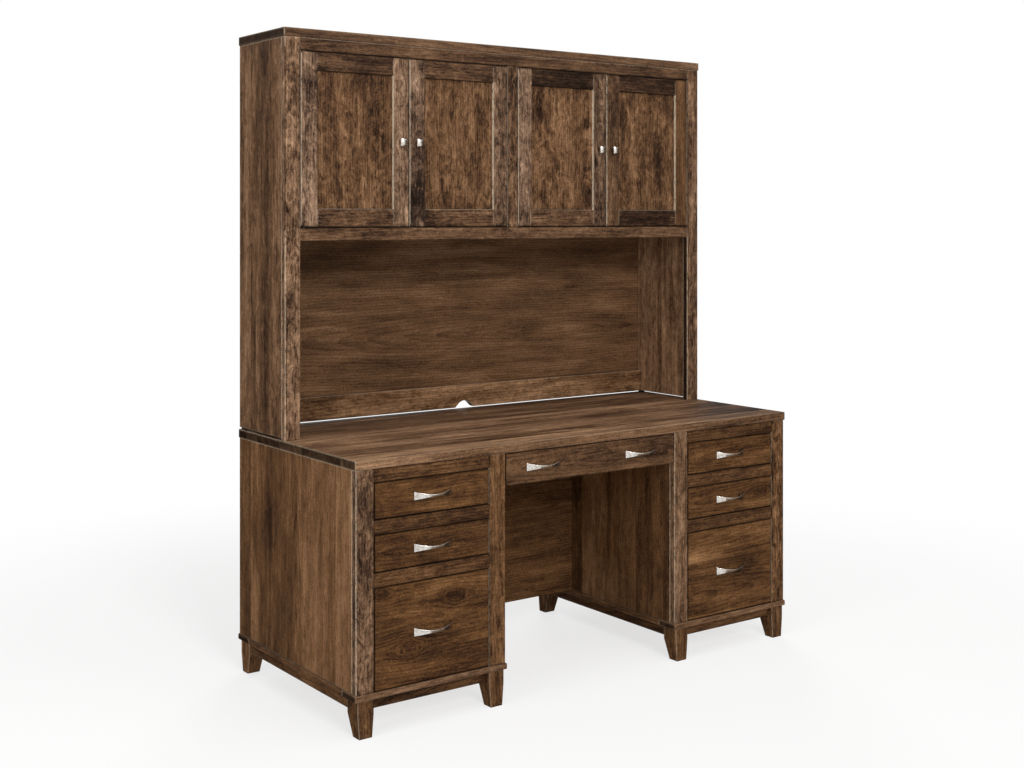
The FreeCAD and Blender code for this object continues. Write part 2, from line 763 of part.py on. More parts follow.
def cord_notch(name):
    """Return the cutter for the round-headed notch that cords pass through."""
    depth = ("back_rail_front - cut_margin", "back_plane + cut_margin")
    length = "(%s) - (%s)" % (depth[1], depth[0])
    centre = ("0", depth[0], "desk_height + notch_height - notch_radius")
    head = bar(name + "_head", "y", "notch_radius", centre, length)
    flank = upright_taper(name + "_flank", ("desk_height", "desk_height + notch_flank_height"),
                          about("0", "notch_half"), depth, about("0", "notch_flank_half"), depth)
    return fuse(name, head, flank)


def build_hutch_frame():
    """Build the hutch's face frame, with the hinge leaves let into its rails."""
    depth = ("hutch_front", "hutch_frame_back")
    members = []
    for side, word in SIDES:
        stile = block("hutch_%s_stile" % word, across(side, "hutch_opening_outer", "pedestal_outer"), depth,
                      ("desk_height", "crown_low"))
        edges = ("front left", "front right", "back " + outer_face(side))
        members.append(ease(stile, "board_edge_radius", edges))
    mid_span = about("0", "hutch_opening_inner")
    mid_stile = block("hutch_mid_stile", mid_span, depth, ("door_space_low", "door_space_high"))
    members.append(ease(mid_stile, "board_edge_radius", ("front left", "front right")))

    rail_span = ("-hutch_opening_outer", "hutch_opening_outer")
    rails = (
        ("top", ("door_space_high", "crown_low"), FRAME_LEAF_TOP),
        ("low", ("low_rail_low", "door_space_low"), FRAME_LEAF_LOW),
    )
    for word, height, leaf_z in rails:
        rail = block("hutch_%s_rail" % word, rail_span, depth, height)
        rail = ease(rail, "board_edge_radius", ["front low"])
        beds = [block("leaf_bed", leaf_span(edge, inward), LEAF_Y, leaf_z) for label, edge, inward in DOORS]
        members.append(cut("hutch_%s_rail_bedded" % word, rail, *beds))
    node("hutch_face_frame", *members)

    pin_length = "reveal + leaf_thickness - pivot_end_clearance"
    collar_length = "reveal - collar_clearance"
    leaves = []
    for label, edge, inward in DOORS:
        pivot_x = spot_along(edge, inward, "pivot_inset")
        ends = (
            (FRAME_LEAF_TOP, "door_space_high - (%s)" % pin_length, "door_space_high - (%s)" % collar_length),
            (FRAME_LEAF_LOW, "door_space_low", "door_space_low"),
        )
        for leaf_z, *starts in ends:
            plate = block(label + "_plate", leaf_span(edge, inward), LEAF_Y, leaf_z)
            pin_start = (pivot_x, "pivot_line", starts[0])
            pin = bar(label + "_pivot", "z", "pivot_radius", pin_start, pin_length)
            collar_start = (pivot_x, "pivot_line", starts[1])
            collar = bar(label + "_collar", "z", "collar_radius", collar_start, collar_length)
            leaves.append(fuse(label + "_frame_leaf", plate, pin, collar))
    node("hinge_frame_leaves", *leaves)


def build_door(label, edge, inward):
    """Build one framed door with its panel, knob and hinge leaves."""
    depth = ("hutch_front", "door_back")
    panel_y = ("panel_front", "panel_back")
    height = ("door_low", "door_high")
    far_side = "door_width - door_member"
    pivot_x = spot_along(edge, inward, "pivot_inset")
    knob_x = spot_along(edge, inward, "door_width - door_member / 2")

    leaf_x = leaf_span(edge, inward)
    leaf_heights = (DOOR_LEAF_TOP, DOOR_LEAF_LOW)
    hinge_beds = [block(label + "_leaf_bed", leaf_x, LEAF_Y, leaf_z) for leaf_z in leaf_heights]
    hinge_groove_x = along(edge, inward, "door_member - panel_groove", "door_member")
    hinge_groove = block(label + "_groove", hinge_groove_x, panel_y, height)
    hinge_stile = block(label + "_hinge_stile", along(edge, inward, "0", "door_member"), depth, height)
    hinge_stile = ease(hinge_stile, "board_edge_radius", FRONT_EDGES)
    free_groove_x = along(edge, inward, far_side, far_side + " + panel_groove")
    free_groove = block(label + "_groove", free_groove_x, panel_y, height)
    free_stile = block(label + "_free_stile", along(edge, inward, far_side, "door_width"), depth, height)
    free_stile = ease(free_stile, "board_edge_radius", FRONT_EDGES)
    knob_hole = screw_hole(label + "_knob_hole", knob_x, "door_middle", depth)
    members = [
        cut(label + "_hinge_stile_cut", hinge_stile, hinge_groove, *hinge_beds),
        cut(label + "_free_stile_cut", free_stile, free_groove, knob_hole),
    ]
    tongue_x = along(edge, inward, "door_member - panel_groove", far_side + " + panel_groove")
    low_groove = ("door_low + door_member - panel_groove", "door_low + door_member")
    top_groove = ("door_high - door_member", "door_high - door_member + panel_groove")
    rails = (
        (("door_low", "door_low + door_member"), low_groove, DOOR_LEAF_LOW),
        (("door_high - door_member", "door_high"), top_groove, DOOR_LEAF_TOP),
    )
    for rail_z, groove_z, leaf_z in rails:
        rail = block(label + "_rail_board", along(edge, inward, "door_member", far_side), depth, rail_z)
        rail = ease(rail, "board_edge_radius", ("front low", "front top"))
        tongue = block(label + "_tongue", tongue_x, panel_y, rail_z)
        groove = block(label + "_rail_groove", tongue_x, panel_y, groove_z)
        bed = block(label + "_rail_bed", leaf_x, LEAF_Y, leaf_z)
        members.append(cut(label + "_rail", fuse(label + "_tongued_rail", rail, tongue), groove, bed))
    node(label + "_frame", *members)

    panel_x = along(edge, inward, "door_member - panel_tongue", far_side + " + panel_tongue")
    panel_z = ("door_low + door_member - panel_tongue", "door_high - door_member + panel_tongue")
    node(label + "_panel", block(label + "_panel_board", panel_x, panel_y, panel_z))

    leaves = []
    for leaf_z in leaf_heights:
        plate = block(label + "_plate", leaf_x, LEAF_Y, leaf_z)
        eye_start = (pivot_x, "pivot_line", leaf_z[0] + " - cut_margin")
        eye_length = "leaf_thickness + 2 * cut_margin"
        eye = bar(label + "_eye", "z", "pivot_radius + pivot_clearance", eye_start, eye_length)
        leaves.append(cut(label + "_leaf", plate, eye))
    node(label + "_hinge_leaves", *leaves)

    node(label + "_knob", knob(label + "_grip", knob_x),
         screw(label + "_knob_screw", knob_x, "door_middle", "hutch_front - screw_bite", "door_back"))


def knob(name, x):
    """Build a square knob with an arched, pinched face on a tapered neck; return the knob."""
    spot = (x, "hutch_front", "door_middle")
    root = about("0", "knob_root / 2")
    shoulder = about("0", "knob_shoulder / 2")
    reach = ("0", "knob_neck")
    neck = wedge(name + "_neck", WEDGE_FORWARD, spot, reach, (root, root), (shoulder, shoulder))
    head_y = ("hutch_front - knob_projection", "hutch_front - knob_neck")
    head_z = about("door_middle", "knob_width / 2 + cut_margin")
    head = block(name + "_head", about(x, "knob_width / 2"), head_y, head_z)
    arch_axis = (x, "hutch_front - knob_projection + knob_radius", head_z[0])
    arch = bar(name + "_arch", "z", "knob_radius", arch_axis, "knob_width + 2 * cut_margin")
    pinches = []
    for way in (UP, DOWN):
        pinch_z = "door_middle + (%d) * (knob_waist / 2 + knob_pinch_radius)" % way
        pinch_spot = (x, "hutch_front - knob_projection - cut_margin", pinch_z)
        pinches.append(bar(name + "_pinch", "y", "knob_pinch_radius", pinch_spot, "knob_head + 2 * cut_margin"))
    face = cut(name + "_face", overlap(name + "_arched_head", head, arch), *pinches)
    body = fuse(name + "_body", neck, face)
    socket_spot = (x, "hutch_front - screw_bite", "door_middle")
    socket = bar(name + "_socket", "y", "screw_radius", socket_spot, "screw_bite + cut_margin")
    return cut(name, body, socket)


def check_and_write():
    """Stop on any broken piece, then write one file for each sub-part."""
    document.recompute()
    for piece in document.Objects:
        if "Invalid" in piece.State or "Error" in piece.State:
            raise RuntimeError("%s did not build: %s" % (piece.Label, piece.State))
    os.makedirs("parts", exist_ok=True)
    for label, piece in nodes.items():
        if piece.Shape.isNull() or not piece.Shape.isValid() or not piece.Shape.Solids:
            raise RuntimeError("%s has no sound solid" % label)
        piece.Shape.exportStep("parts/%s.step" % label)
        print("%-28s solids %2d  volume %.0f" % (label, len(piece.Shape.Solids), piece.Shape.Volume))
    print("%d sub-parts" % len(nodes))


build_desk_case()
build_feet()
build_drawers()
build_hutch_case()
build_hutch_frame()
for door_label, hinge_edge, door_inward in DOORS:
    build_door(door_label, hinge_edge, door_inward)
check_and_write()
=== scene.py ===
"""Desk with a hutch: finishes, hardware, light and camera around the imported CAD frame."""

import logging
import math
from dataclasses import dataclass, replace
from enum import Enum
from typing import Callable, Optional, Sequence, Union

import bmesh
import bpy
from bpy.types import Material, Node, NodeSocket, Object, World
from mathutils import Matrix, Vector


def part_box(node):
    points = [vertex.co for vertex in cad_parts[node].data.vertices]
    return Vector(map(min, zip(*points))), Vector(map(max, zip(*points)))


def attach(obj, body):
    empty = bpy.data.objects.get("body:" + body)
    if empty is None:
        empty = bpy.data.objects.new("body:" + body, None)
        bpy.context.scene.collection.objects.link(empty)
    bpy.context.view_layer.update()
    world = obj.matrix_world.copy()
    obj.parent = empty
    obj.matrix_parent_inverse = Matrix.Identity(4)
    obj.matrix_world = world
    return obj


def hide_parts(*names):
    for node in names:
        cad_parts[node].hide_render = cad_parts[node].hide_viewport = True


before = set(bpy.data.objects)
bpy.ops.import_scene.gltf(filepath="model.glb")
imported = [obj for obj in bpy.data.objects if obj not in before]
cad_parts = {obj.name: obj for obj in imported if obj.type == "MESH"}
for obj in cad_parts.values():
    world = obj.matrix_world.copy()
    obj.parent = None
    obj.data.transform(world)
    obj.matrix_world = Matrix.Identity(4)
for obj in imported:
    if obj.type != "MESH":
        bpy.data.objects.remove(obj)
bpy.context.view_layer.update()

LOG = logging.getLogger("desk_with_hutch")
AXES = "xyz"
MM = 0.001
# Places nearer than this, in metres, count as one.
NEAR = 1e-5

Feed = Union[Node, NodeSocket, float, Sequence[float]]
Feeds = Union[Sequence[Feed], dict[str, Feed]]
Triple = tuple[float, float, float]
Zone = tuple[tuple[str, float, float], ...]
ALL_OVER: Zone = ()

# Depth of the painted highlight in from the front of an opening, and reach of the painted shadow beside a narrow
# gap.
HIGHLIGHT_DEPTH = 5 * MM
GAP_RIM = 7 * MM
# Radius of the rounding that the eye sees on a board's edge, and of the band in which an edge gets painted
# highlight or painted shade.
EASE_RADIUS = 2.5 * MM
RIM_RADIUS = 6 * MM
# Reach of the ambient-occlusion test whose crevices get painted shade.
CREVICE_REACH = 5 * MM
# How far a board's or a glued stave's pattern lies from the next one's, in metres.
SEED_STEP = (0.37, 0.23, 0.29)
STAVE_SEED_STEP = 0.137
STAVE_STEP = (1.9, 0.7, 0.7)
STAVE_SLIP = 1.2
# How unevenly the glued staves are cut, and how far the seeds of staves laid side by side differ.
STAVE_CHANCE = 0.8
STAVE_SEED_GAP = 0.13
# From where to where a value has to go for a trait to set in fully.
FLECK_ONSET = (0.5, 0.72)
LINE_ONSET = (0.55, 0.67)
END_ONSET = (0.6, 0.8)
CREVICE_ONSET = (0.7, 0.3)
EDGE_ONSET = (0.992, 0.9)
WALL_ONSET = (-0.8, -0.95)
WHOLE_ONSET = (0.36, 0.48)
SPECK_ONSET = (0.4, 0.34)
PATCH_ONSET = (1.25, 0.35)
STREAK_RANGE = (0.3, 0.7)
# The sides on which edges get a painted highlight, left and above, and painted shade, right and below: the number
# of the axis, from where to where the edge has to turn, and how much then shows.
HIGHLIGHT_SIDES = ((0, -0.15, -0.45, 1.0), (2, 0.2, 0.6, 0.5))
SHADED_SIDES = ((0, 0.2, 0.6, 0.6), (2, -0.2, -0.6, 0.7))
SPECK_WEIGHT = 0.7
# How strongly the grain is felt through the lacquer.
GRAIN_BUMP = 0.5
PATCH_RAGGED = (1.8, 1.8, 1.8)
HALF = (0.5, 0.5, 0.5)
# How late in a growth ring the dark sets in, round a board's heart and round a knot.
RING_POWER = 3.0
KNOT_RING_POWER = 2.0
# A knot's length is its width over this. Its core and heart are shares of its area, its rings fade out at so
# many radii.
KNOT_SLIMNESS = 0.45
KNOT_CORE = 0.2
KNOT_HEART = 0.1
KNOT_REACH = 4


def linear(code: str) -> tuple[float, float, float, float]:
    """Turn an sRGB hex colour into linear values.

    Args:
        code: Six hex digits after a hash sign.

    Returns:
        Red, green, blue and an alpha of one.
    """
    parts = [int(code[i:i + 2], 16) / 255 for i in (1, 3, 5)]
    red, green, blue = (p / 12.92 if p <= 0.04045 else ((p + 0.055) / 1.055) ** 2.4 for p in parts)
    return red, green, blue, 1.0


class Graph:
    """The node tree of one material or world."""

    def __init__(self, owner: Union[Material, World]) -> None:
        """Clear the owner's tree.

        Args:
            owner: The material or world that the nodes belong to.
        """
        owner.use_nodes = True
        self.owner = owner
        self.tree = owner.node_tree
        self.tree.nodes.clear()

    def add(self, kind: str, feeds: Feeds = (), **settings: object) -> Node:
        """Add a node with its settings, values and links.

        Args:
            kind: The node's type, without the leading ShaderNode.
            feeds: Values, nodes or sockets for the inputs in use, in order or by name. A node stands for its
                first output in use.
            **settings: Properties of the node.

        Returns:
            The new node.
        """
        node = self.tree.nodes.new("ShaderNode" + kind)
        for name, value in settings.items():
            setattr(node, name, value)
        ports = [port for port in node.inputs if port.enabled]
        if isinstance(feeds, dict):
            ports, feeds = [node.inputs[name] for name in feeds], list(feeds.values())
        for port, feed in zip(ports, feeds):
            if isinstance(feed, Node):
                feed = next(out for out in feed.outputs if out.enabled)
            if isinstance(feed, NodeSocket):
                self.tree.links.new(feed, port)
            else:
                port.default_value = feed
        return node


class Grain(Enum):
    """The axis along a board's grain, then the one across its face, then the one through it."""

    LEVEL_ON_FRONT = "xzy"
    LEVEL_ON_TOP = "xyz"
    UPRIGHT_ON_FRONT = "zxy"
    UPRIGHT_ON_SIDE = "zyx"
    DEEP_ON_SIDE = "yzx"

    @property
    def order(self) -> list[int]:
        """The three axes as numbers."""
        return [AXES.index(letter) for letter in self.value]


LEVEL = Grain.LEVEL_ON_FRONT
UPRIGHT = Grain.UPRIGHT_ON_FRONT


@dataclass(frozen=True)
class Board:
    """One board of a node, or one run of glued staves.

    Attributes:
        grain: The way the grain runs.
        seed: Sets this board's pattern apart from the others'.
        tone: How much lighter or darker the board is than the usual stain.
        mottle: How blotchy it is beside the usual.
        heart: Where its ring figure has its middle, along and across the grain, in metres.
        where: The spans of the node that the board fills; a node's first board needs none.
        depth: The board's middle through its thickness in metres, or none for the middle of the node.
        figure: How strong its streaks are beside the usual.
        warmth: How full its colour is beside the usual.
    """

    grain: Grain
    seed: float
    tone: float = 0.0
    mottle: float = 0.6
    heart: tuple[float, float] = (0.0, 0.0)
    where: Zone = ()
    depth: Optional[float] = None
    figure: float = 1.0
    warmth: float = 1.0


def staves(pattern: Board, edges: Sequence[float], tones: Sequence[float]) -> list[Board]:
    """Lay staves side by side along Y.

    Args:
        pattern: What the staves share; its own place is kept.
        edges: Where the staves begin, and the end of the last, in metres.
        tones: Each stave's tone.

    Returns:
        The staves.
    """
    return [replace(pattern, seed=pattern.seed + STAVE_SEED_GAP * number, tone=pattern.tone + tone,
                    where=pattern.where + (("y", low, high),))
            for number, (low, high, tone) in enumerate(zip(edges, edges[1:], tones))]


@dataclass(frozen=True)
class Patch:
    """A stain patch: its middle and half sizes in metres, and how much lighter or darker it is."""

    middle: Triple
    half: Triple
    tone: float


@dataclass(frozen=True)
class Knot:
    """A knot that the grain flows round: its place and half width in metres, and how light or dark its heart is."""

    middle: Triple
    radius: float
    grain: Grain
    tone: float


@dataclass(frozen=True)
class Layer:
    """A noise pattern drawn out along the grain, with its feature's length and width in millimetres."""

    length: float
    width: float
    weight: float = 1.0
    detail: float = 3.0
    roughness: float = 0.6
    distortion: float = 0.0

    def draw(self, graph: Graph, field: Feed) -> Node:
        """Add the pattern to a material.

        Args:
            graph: The material's nodes.
            field: Coordinates along, across and through the grain, in metres.

        Returns:
            The noise node.
        """
        pitch = [1 / (size * MM) for size in (self.length, self.width, self.width)]
        scaled = graph.add("VectorMath", (field, pitch), operation="MULTIPLY")
        return graph.add("TexNoise", {"Vector": scaled, "Scale": 1.0, "Detail": self.detail,
                                      "Roughness": self.roughness, "Distortion": self.distortion})


KNOT_RIPPLE = Layer(40, 40)


@dataclass(frozen=True)
class Maple:
    """Lacquered maple boards.

    Attributes:
        name: The finish's name.
        stops: The stain's colours, each with its place from dark to light; the darkest and lightest come first.
        highlight_tint: The colour of the painted highlight on edges that face left or up and on walls that face
            left; it also tints the lacquer's real highlights.
        shade_tint: What the painted shade in crevices, beside narrow gaps and on edges that face right or down is
            multiplied by.
        end_tint: What end grain, which drinks more stain, is multiplied by.
        blotch: Broad uneven uptake of the stain; it also makes the grain wander.
        mottle: Small curly patches.
        streak: Streaks of the grain.
        band: Long faint bands.
        fibre: Specks of short fibres, drawn a little wider than life so that they show.
        line: Thin dark lines where the pores run, drawn wider than life so that they show.
        fleck: Dark curly flecks, thick where the board is blotchy.
        wander: How far the grain wanders sideways, in metres.
        ring_weight: How dark the growth rings are.
        ring_wander: How far the rings stray from round, in metres.
        tilt: Slope of the heart to the board's face, which draws the rings out into ovals.
        stave_weight: How much the glued staves differ in tone.
        highlight_weight: How much of the painted highlight shows on edges.
        gloss: Lowest and highest roughness of the lacquer.
        relief: Height of the grain under the lacquer in millimetres.
        highlight_gaps: Small gaps in the painted edge highlight, where dark specks in the shade tint show.
        ring: Spacing of the growth rings in millimetres, drawn coarser than life so that they show.
        shine: How much light the lacquer mirrors.
    """

    name: str
    stops: tuple[tuple[float, str], ...]
    highlight_tint: str
    shade_tint: str
    end_tint: str
    blotch: Layer
    mottle: Layer
    streak: Layer
    band: Layer
    fibre: Layer
    line: Layer
    fleck: Layer
    wander: float
    ring_weight: float
    ring_wander: float
    tilt: float
    stave_weight: float
    highlight_weight: float
    gloss: tuple[float, float]
    relief: float
    highlight_gaps: Layer = Layer(14, 4.0, 1.0, 3.0, 0.7)
    ring: float = 9.0
    shine: float = 0.15

    def dress(self, node: str, boards: Sequence[Board], stave: float = 0.0, patches: Sequence[Patch] = (),
              knots: Sequence[Knot] = (), dark_rims: Sequence[Zone] = (), pale_walls: Sequence[Zone] = ()) -> None:
        """Make the finish for one node and give it to the node.

        Args:
            node: The node's name.
            boards: The node's boards; the first fills what the others leave.
            stave: Usual width of glued staves in millimetres, or none for whole boards.
            patches: Stain patches.
            knots: Knots.
            dark_rims: Zones in which all edges get painted shade, as a painted shadow beside a narrow gap.
            pale_walls: Zones in which walls that face left get a painted highlight all over, as in a narrow recess.
        """
        paint = Paint(self, node, boards)
        for knot in knots:
            paint.bend(knot)
        paint.draw_figure(stave, patches)
        paint.seal(paint.paint_light_and_shade(paint.colour(), dark_rims, pale_walls))
        dress(node, paint.owner)


class Paint(Graph):
    """The nodes of one maple material: the place on the grain, and the stain's depth from dark to light so far."""

    def __init__(self, finish: Maple, node: str, boards: Sequence[Board]) -> None:
        """Follow the grain and the traits of a node board by board.

        Args:
            finish: The finish that the material follows.
            node: The node that it is for.
            boards: The node's boards.
        """
        super().__init__(bpy.data.materials.new(f"{finish.name}_{node}"))
        self.finish = finish
        here = self.add("TexCoord").outputs
        self.spot = here["Object"]
        self.place = self.add("SeparateXYZ", [self.spot]).outputs
        self.facing = self.add("SeparateXYZ", [here["Normal"]]).outputs
        low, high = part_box(node)
        laid: list[Node] = []
        for board in boards:
            order = board.grain.order
            turned = self.add("CombineXYZ", [self.place[axis] for axis in order])
            depth = (low[order[2]] + high[order[2]]) / 2 if board.depth is None else board.depth
            new = [
                self.add("VectorMath", (turned, (*board.heart, depth)), operation="SUBTRACT"),
                self.add("CombineXYZ", (board.tone, board.mottle, board.seed)),
                self.add("CombineXYZ", (board.figure, board.warmth, self.facing[order[0]])),
            ]
            if laid:
                inside = self.within([board.where])
                new = [self.add("Mix", (inside, *pair), data_type="VECTOR") for pair in zip(laid, new)]
            laid = new
        self.grain, traits, looks = laid
        tone, self.curl, self.seed = self.add("SeparateXYZ", [traits]).outputs
        self.figure, self.warmth, self.end = self.add("SeparateXYZ", [looks]).outputs
        self.depth = self.add("Math", (tone, 0.5), operation="ADD")

    def within(self, zones: Sequence[Zone]) -> Feed:
        """Mark the places that lie in any of several zones.

        Args:
            zones: The zones.

        Returns:
            A value that is one inside a zone.
        """
        found: Feed = 0.0
        for zone in zones:
            inside: Feed = 1.0
            for axis, low, high in zone:
                span = (self.place[AXES.index(axis)], (low + high) / 2, (high - low) / 2)
                inside = self.add("Math", (inside, self.add("Math", span, operation="COMPARE")),
                                  operation="MULTIPLY")
            found = self.add("Math", (found, inside), operation="MAXIMUM")
        return found

    def deepen(self, layer: Feed, weight: Feed) -> None:
        """Add a value, times a weight, to the stain's depth."""
        self.depth = self.add("Math", (layer, weight, self.depth), operation="MULTIPLY_ADD")

    def rings(self, radius: Feed, power: float) -> Node:
        """Draw growth rings that darken to their rims.

        Args:
            radius: Distance from the heart.
            power: How late in a ring the dark sets in.

        Returns:
            A value that rises to one at the end of each ring.
        """
        count = self.add("Math", (radius, 1 / (self.finish.ring * MM)), operation="MULTIPLY")
        part = self.add("Math", [count], operation="FRACT")
        return self.add("Math", (part, power), operation="POWER")

    def bend(self, knot: Knot) -> None:
        """Bend the grain round a knot, as a stream bends round a post, and draw its rings and dark heart.

        Args:
            knot: The knot.
        """
        area = knot.radius ** 2
        away = self.add("VectorMath", (self.spot, knot.middle), operation="SUBTRACT")
        away = self.add("SeparateXYZ", [away]).outputs
        along, across = (away[axis] for axis in knot.grain.order[:2])
        slim = self.add("Math", (along, KNOT_SLIMNESS), operation="MULTIPLY")
        flat = self.add("CombineXYZ", (slim, across))
        square = self.add("VectorMath", (flat, flat), operation="DOT_PRODUCT")
        spread = self.add("Math", (square, KNOT_CORE * area), operation="ADD")
        push = self.add("Math", (across, -area), operation="MULTIPLY")
        push = self.add("Math", (push, spread), operation="DIVIDE")
        shift = self.add("CombineXYZ", (0.0, push))
        self.grain = self.add("VectorMath", (self.grain, shift), operation="ADD")
        self.deepen(self.add("MapRange", (square, area, KNOT_HEART * area)), knot.tone)
        far = self.add("Math", [square], operation="SQRT")
        ripple = KNOT_RIPPLE.draw(self, self.spot)
        far = self.add("Math", (ripple, 2 * knot.radius, far), operation="MULTIPLY_ADD")
        fade = self.add("MapRange", (far, knot.radius, KNOT_REACH * knot.radius, -self.finish.ring_weight, 0.0))
        self.deepen(self.rings(far, KNOT_RING_POWER), fade)

    def draw_figure(self, stave: float, patches: Sequence[Patch]) -> None:
        """Draw the blotches, streaks and rings of the boards, and their stain patches.

        Args:
            stave: Usual width of glued staves in millimetres, or none for whole boards.
            patches: The patches.
        """
        look = self.finish
        field = self.add("VectorMath", (self.seed, SEED_STEP, self.grain), operation="MULTIPLY_ADD")
        along, across, through = self.add("SeparateXYZ", [self.grain]).outputs
        swings: list[tuple[Feed, float, Feed]] = []
        if stave:
            lane = self.add("Math", (self.seed, STAVE_SEED_STEP, across), operation="MULTIPLY_ADD")
            glued = self.add("TexVoronoi", {"W": lane, "Scale": 1 / (stave * MM), "Randomness": STAVE_CHANCE},
                             voronoi_dimensions="1D").outputs
            field = self.add("VectorMath", (glued["Color"], STAVE_STEP, field), operation="MULTIPLY_ADD")
            luck = self.add("SeparateXYZ", [glued["Color"]]).outputs
            swings.append((luck[0], look.stave_weight, 1.0))
            along = self.add("Math", (luck[1], STAVE_SLIP, along), operation="MULTIPLY_ADD")
            across = self.add("Math", (lane, glued["W"]), operation="SUBTRACT")
        blotch = look.blotch.draw(self, field)
        sway = (blotch.outputs["Color"], (0.0, look.wander, look.wander), field)
        self.sway = self.add("VectorMath", sway, operation="MULTIPLY_ADD")
        mottle, band, self.streak, fibre, fleck, line = (layer.draw(self, self.sway) for layer in (
            look.mottle, look.band, look.streak, look.fibre, look.fleck, look.line))
        swings += [(blotch, look.blotch.weight, 1.0), (fibre, look.fibre.weight, 1.0),
                   (mottle, look.mottle.weight, self.curl), (band, look.band.weight, self.figure),
                   (self.streak, look.streak.weight, self.figure)]
        for noise, weight, trait in swings:
            swing = self.add("Math", (noise, 0.5), operation="SUBTRACT")
            self.deepen(swing, self.add("Math", (trait, weight), operation="MULTIPLY"))
        self.deepen(self.add("MapRange", (fleck, *FLECK_ONSET, 0.0, -look.fleck.weight)), self.curl)
        self.deepen(self.add("MapRange", (line, *LINE_ONSET, 0.0, -look.line.weight)), self.figure)
        lift = self.add("Math", (along, look.tilt, through), operation="MULTIPLY_ADD")
        radius = self.add("VectorMath", [self.add("CombineXYZ", (across, lift))], operation="LENGTH")
        radius = self.add("Math", (blotch, look.ring_wander, radius), operation="MULTIPLY_ADD")
        self.deepen(self.rings(radius, RING_POWER), -look.ring_weight)
        for patch in patches:
            self.stain(patch, (blotch, mottle))

    def stain(self, patch: Patch, noises: Sequence[Node]) -> None:
        """Add one stain patch with a ragged rim.

        Args:
            patch: The patch.
            noises: What makes the rim ragged.
        """
        away = self.add("VectorMath", (self.spot, patch.middle), operation="SUBTRACT")
        away = self.add("VectorMath", (away, [1 / size for size in patch.half]), operation="MULTIPLY")
        for noise in noises:
            ragged = self.add("VectorMath", (noise.outputs["Color"], HALF), operation="SUBTRACT")
            away = self.add("VectorMath", (ragged, PATCH_RAGGED, away), operation="MULTIPLY_ADD")
        far = self.add("VectorMath", [away], operation="LENGTH")
        amount = self.add("MapRange", (far, *PATCH_ONSET), interpolation_type="SMOOTHSTEP")
        self.deepen(amount, patch.tone)

    def colour(self) -> Node:
        """Turn the stain's depth into colour, darker on end grain.

        Returns:
            The colour.
        """
        stain = self.add("ValToRGB", [self.depth])
        scale = stain.color_ramp.elements
        for number, (place, code) in enumerate(self.finish.stops):
            stop = scale[number] if number < 2 else scale.new(place)
            stop.position = place
            stop.color = linear(code)
        full = self.add("HueSaturation", {"Saturation": self.warmth, "Color": stain})
        ends = self.add("Math", [self.end], operation="ABSOLUTE")
        ends = self.add("MapRange", (ends, *END_ONSET))
        return self.add("Mix", (ends, full, linear(self.finish.end_tint)), data_type="RGBA", blend_type="MULTIPLY")

    def paint_light_and_shade(self, colour: Feed, dark_rims: Sequence[Zone], pale_walls: Sequence[Zone]) -> Node:
        """Paint a highlight on edges that face left or up, and paint shade on edges that face right or down, beside
        narrow gaps and in crevices.

        Args:
            colour: The stained colour.
            dark_rims: Zones in which all edges get painted shade.
            pale_walls: Zones in which walls that face left get a painted highlight all over.

        Returns:
            The colour with its painted highlights and painted shade.
        """
        rounded = self.add("Bevel", [RIM_RADIUS], samples=6)
        flat = self.add("NewGeometry").outputs["Normal"]
        agree = self.add("VectorMath", (rounded, flat), operation="DOT_PRODUCT")
        edge = self.add("MapRange", (agree, *EDGE_ONSET))
        turned = self.add("VectorTransform", [rounded], vector_type="NORMAL", convert_from="WORLD",
                          convert_to="OBJECT")
        turned = self.add("SeparateXYZ", [turned]).outputs
        # Edges that turn left or up get a painted highlight, and edges that turn right or down get painted shade.
        found = []
        for sides in (HIGHLIGHT_SIDES, SHADED_SIDES):
            shares = [self.add("MapRange", (turned[axis], start, stop, 0.0, most))
                      for axis, start, stop, most in sides]
            either = self.add("Math", shares, operation="MAXIMUM")
            found.append(self.add("Math", (edge, either), operation="MULTIPLY"))
        painted_highlight, dark = found
        # Every edge in the dark_rims zones gets painted shade, as a painted shadow beside a narrow gap.
        beside = self.add("Math", (edge, self.within(dark_rims)), operation="MULTIPLY")
        dark = self.add("Math", (dark, beside), operation="MAXIMUM")
        painted_highlight = self.add("Math", (painted_highlight, dark), operation="SUBTRACT", use_clamp=True)
        # Walls that face left in the pale_walls zones get a painted highlight all over and lose the painted shade.
        wall = self.add("MapRange", (self.facing[0], *WALL_ONSET))
        wall = self.add("Math", (wall, self.within(pale_walls)), operation="MULTIPLY")
        painted_highlight = self.add("Math", (painted_highlight, wall), operation="MAXIMUM")
        # Crevices found by ambient occlusion get painted shade.
        open_air = self.add("AmbientOcclusion", {"Distance": CREVICE_REACH}, samples=6).outputs["AO"]
        crevice = self.add("MapRange", (open_air, *CREVICE_ONSET))
        dark = self.add("Math", (dark, crevice), operation="MAXIMUM")
        dark = self.add("Math", (dark, wall), operation="SUBTRACT", use_clamp=True)
        # Noise breaks the painted edge highlight into gaps, with dark specks in the shade tint.
        highlight_gaps = self.finish.highlight_gaps.draw(self, self.sway)
        speck = self.add("MapRange", (highlight_gaps, *SPECK_ONSET, 0.0, SPECK_WEIGHT))
        speck = self.add("Math", (speck, painted_highlight), operation="MULTIPLY")
        dark = self.add("Math", (dark, speck), operation="MAXIMUM")
        whole = self.add("MapRange", (highlight_gaps, *WHOLE_ONSET, 0.0, self.finish.highlight_weight))
        painted_highlight = self.add("Math", (painted_highlight, whole), operation="MULTIPLY")
        pale = self.add("Mix", (painted_highlight, colour, linear(self.finish.highlight_tint)), data_type="RGBA")
        return self.add("Mix", (dark, pale, linear(self.finish.shade_tint)), data_type="RGBA", blend_type="MULTIPLY")

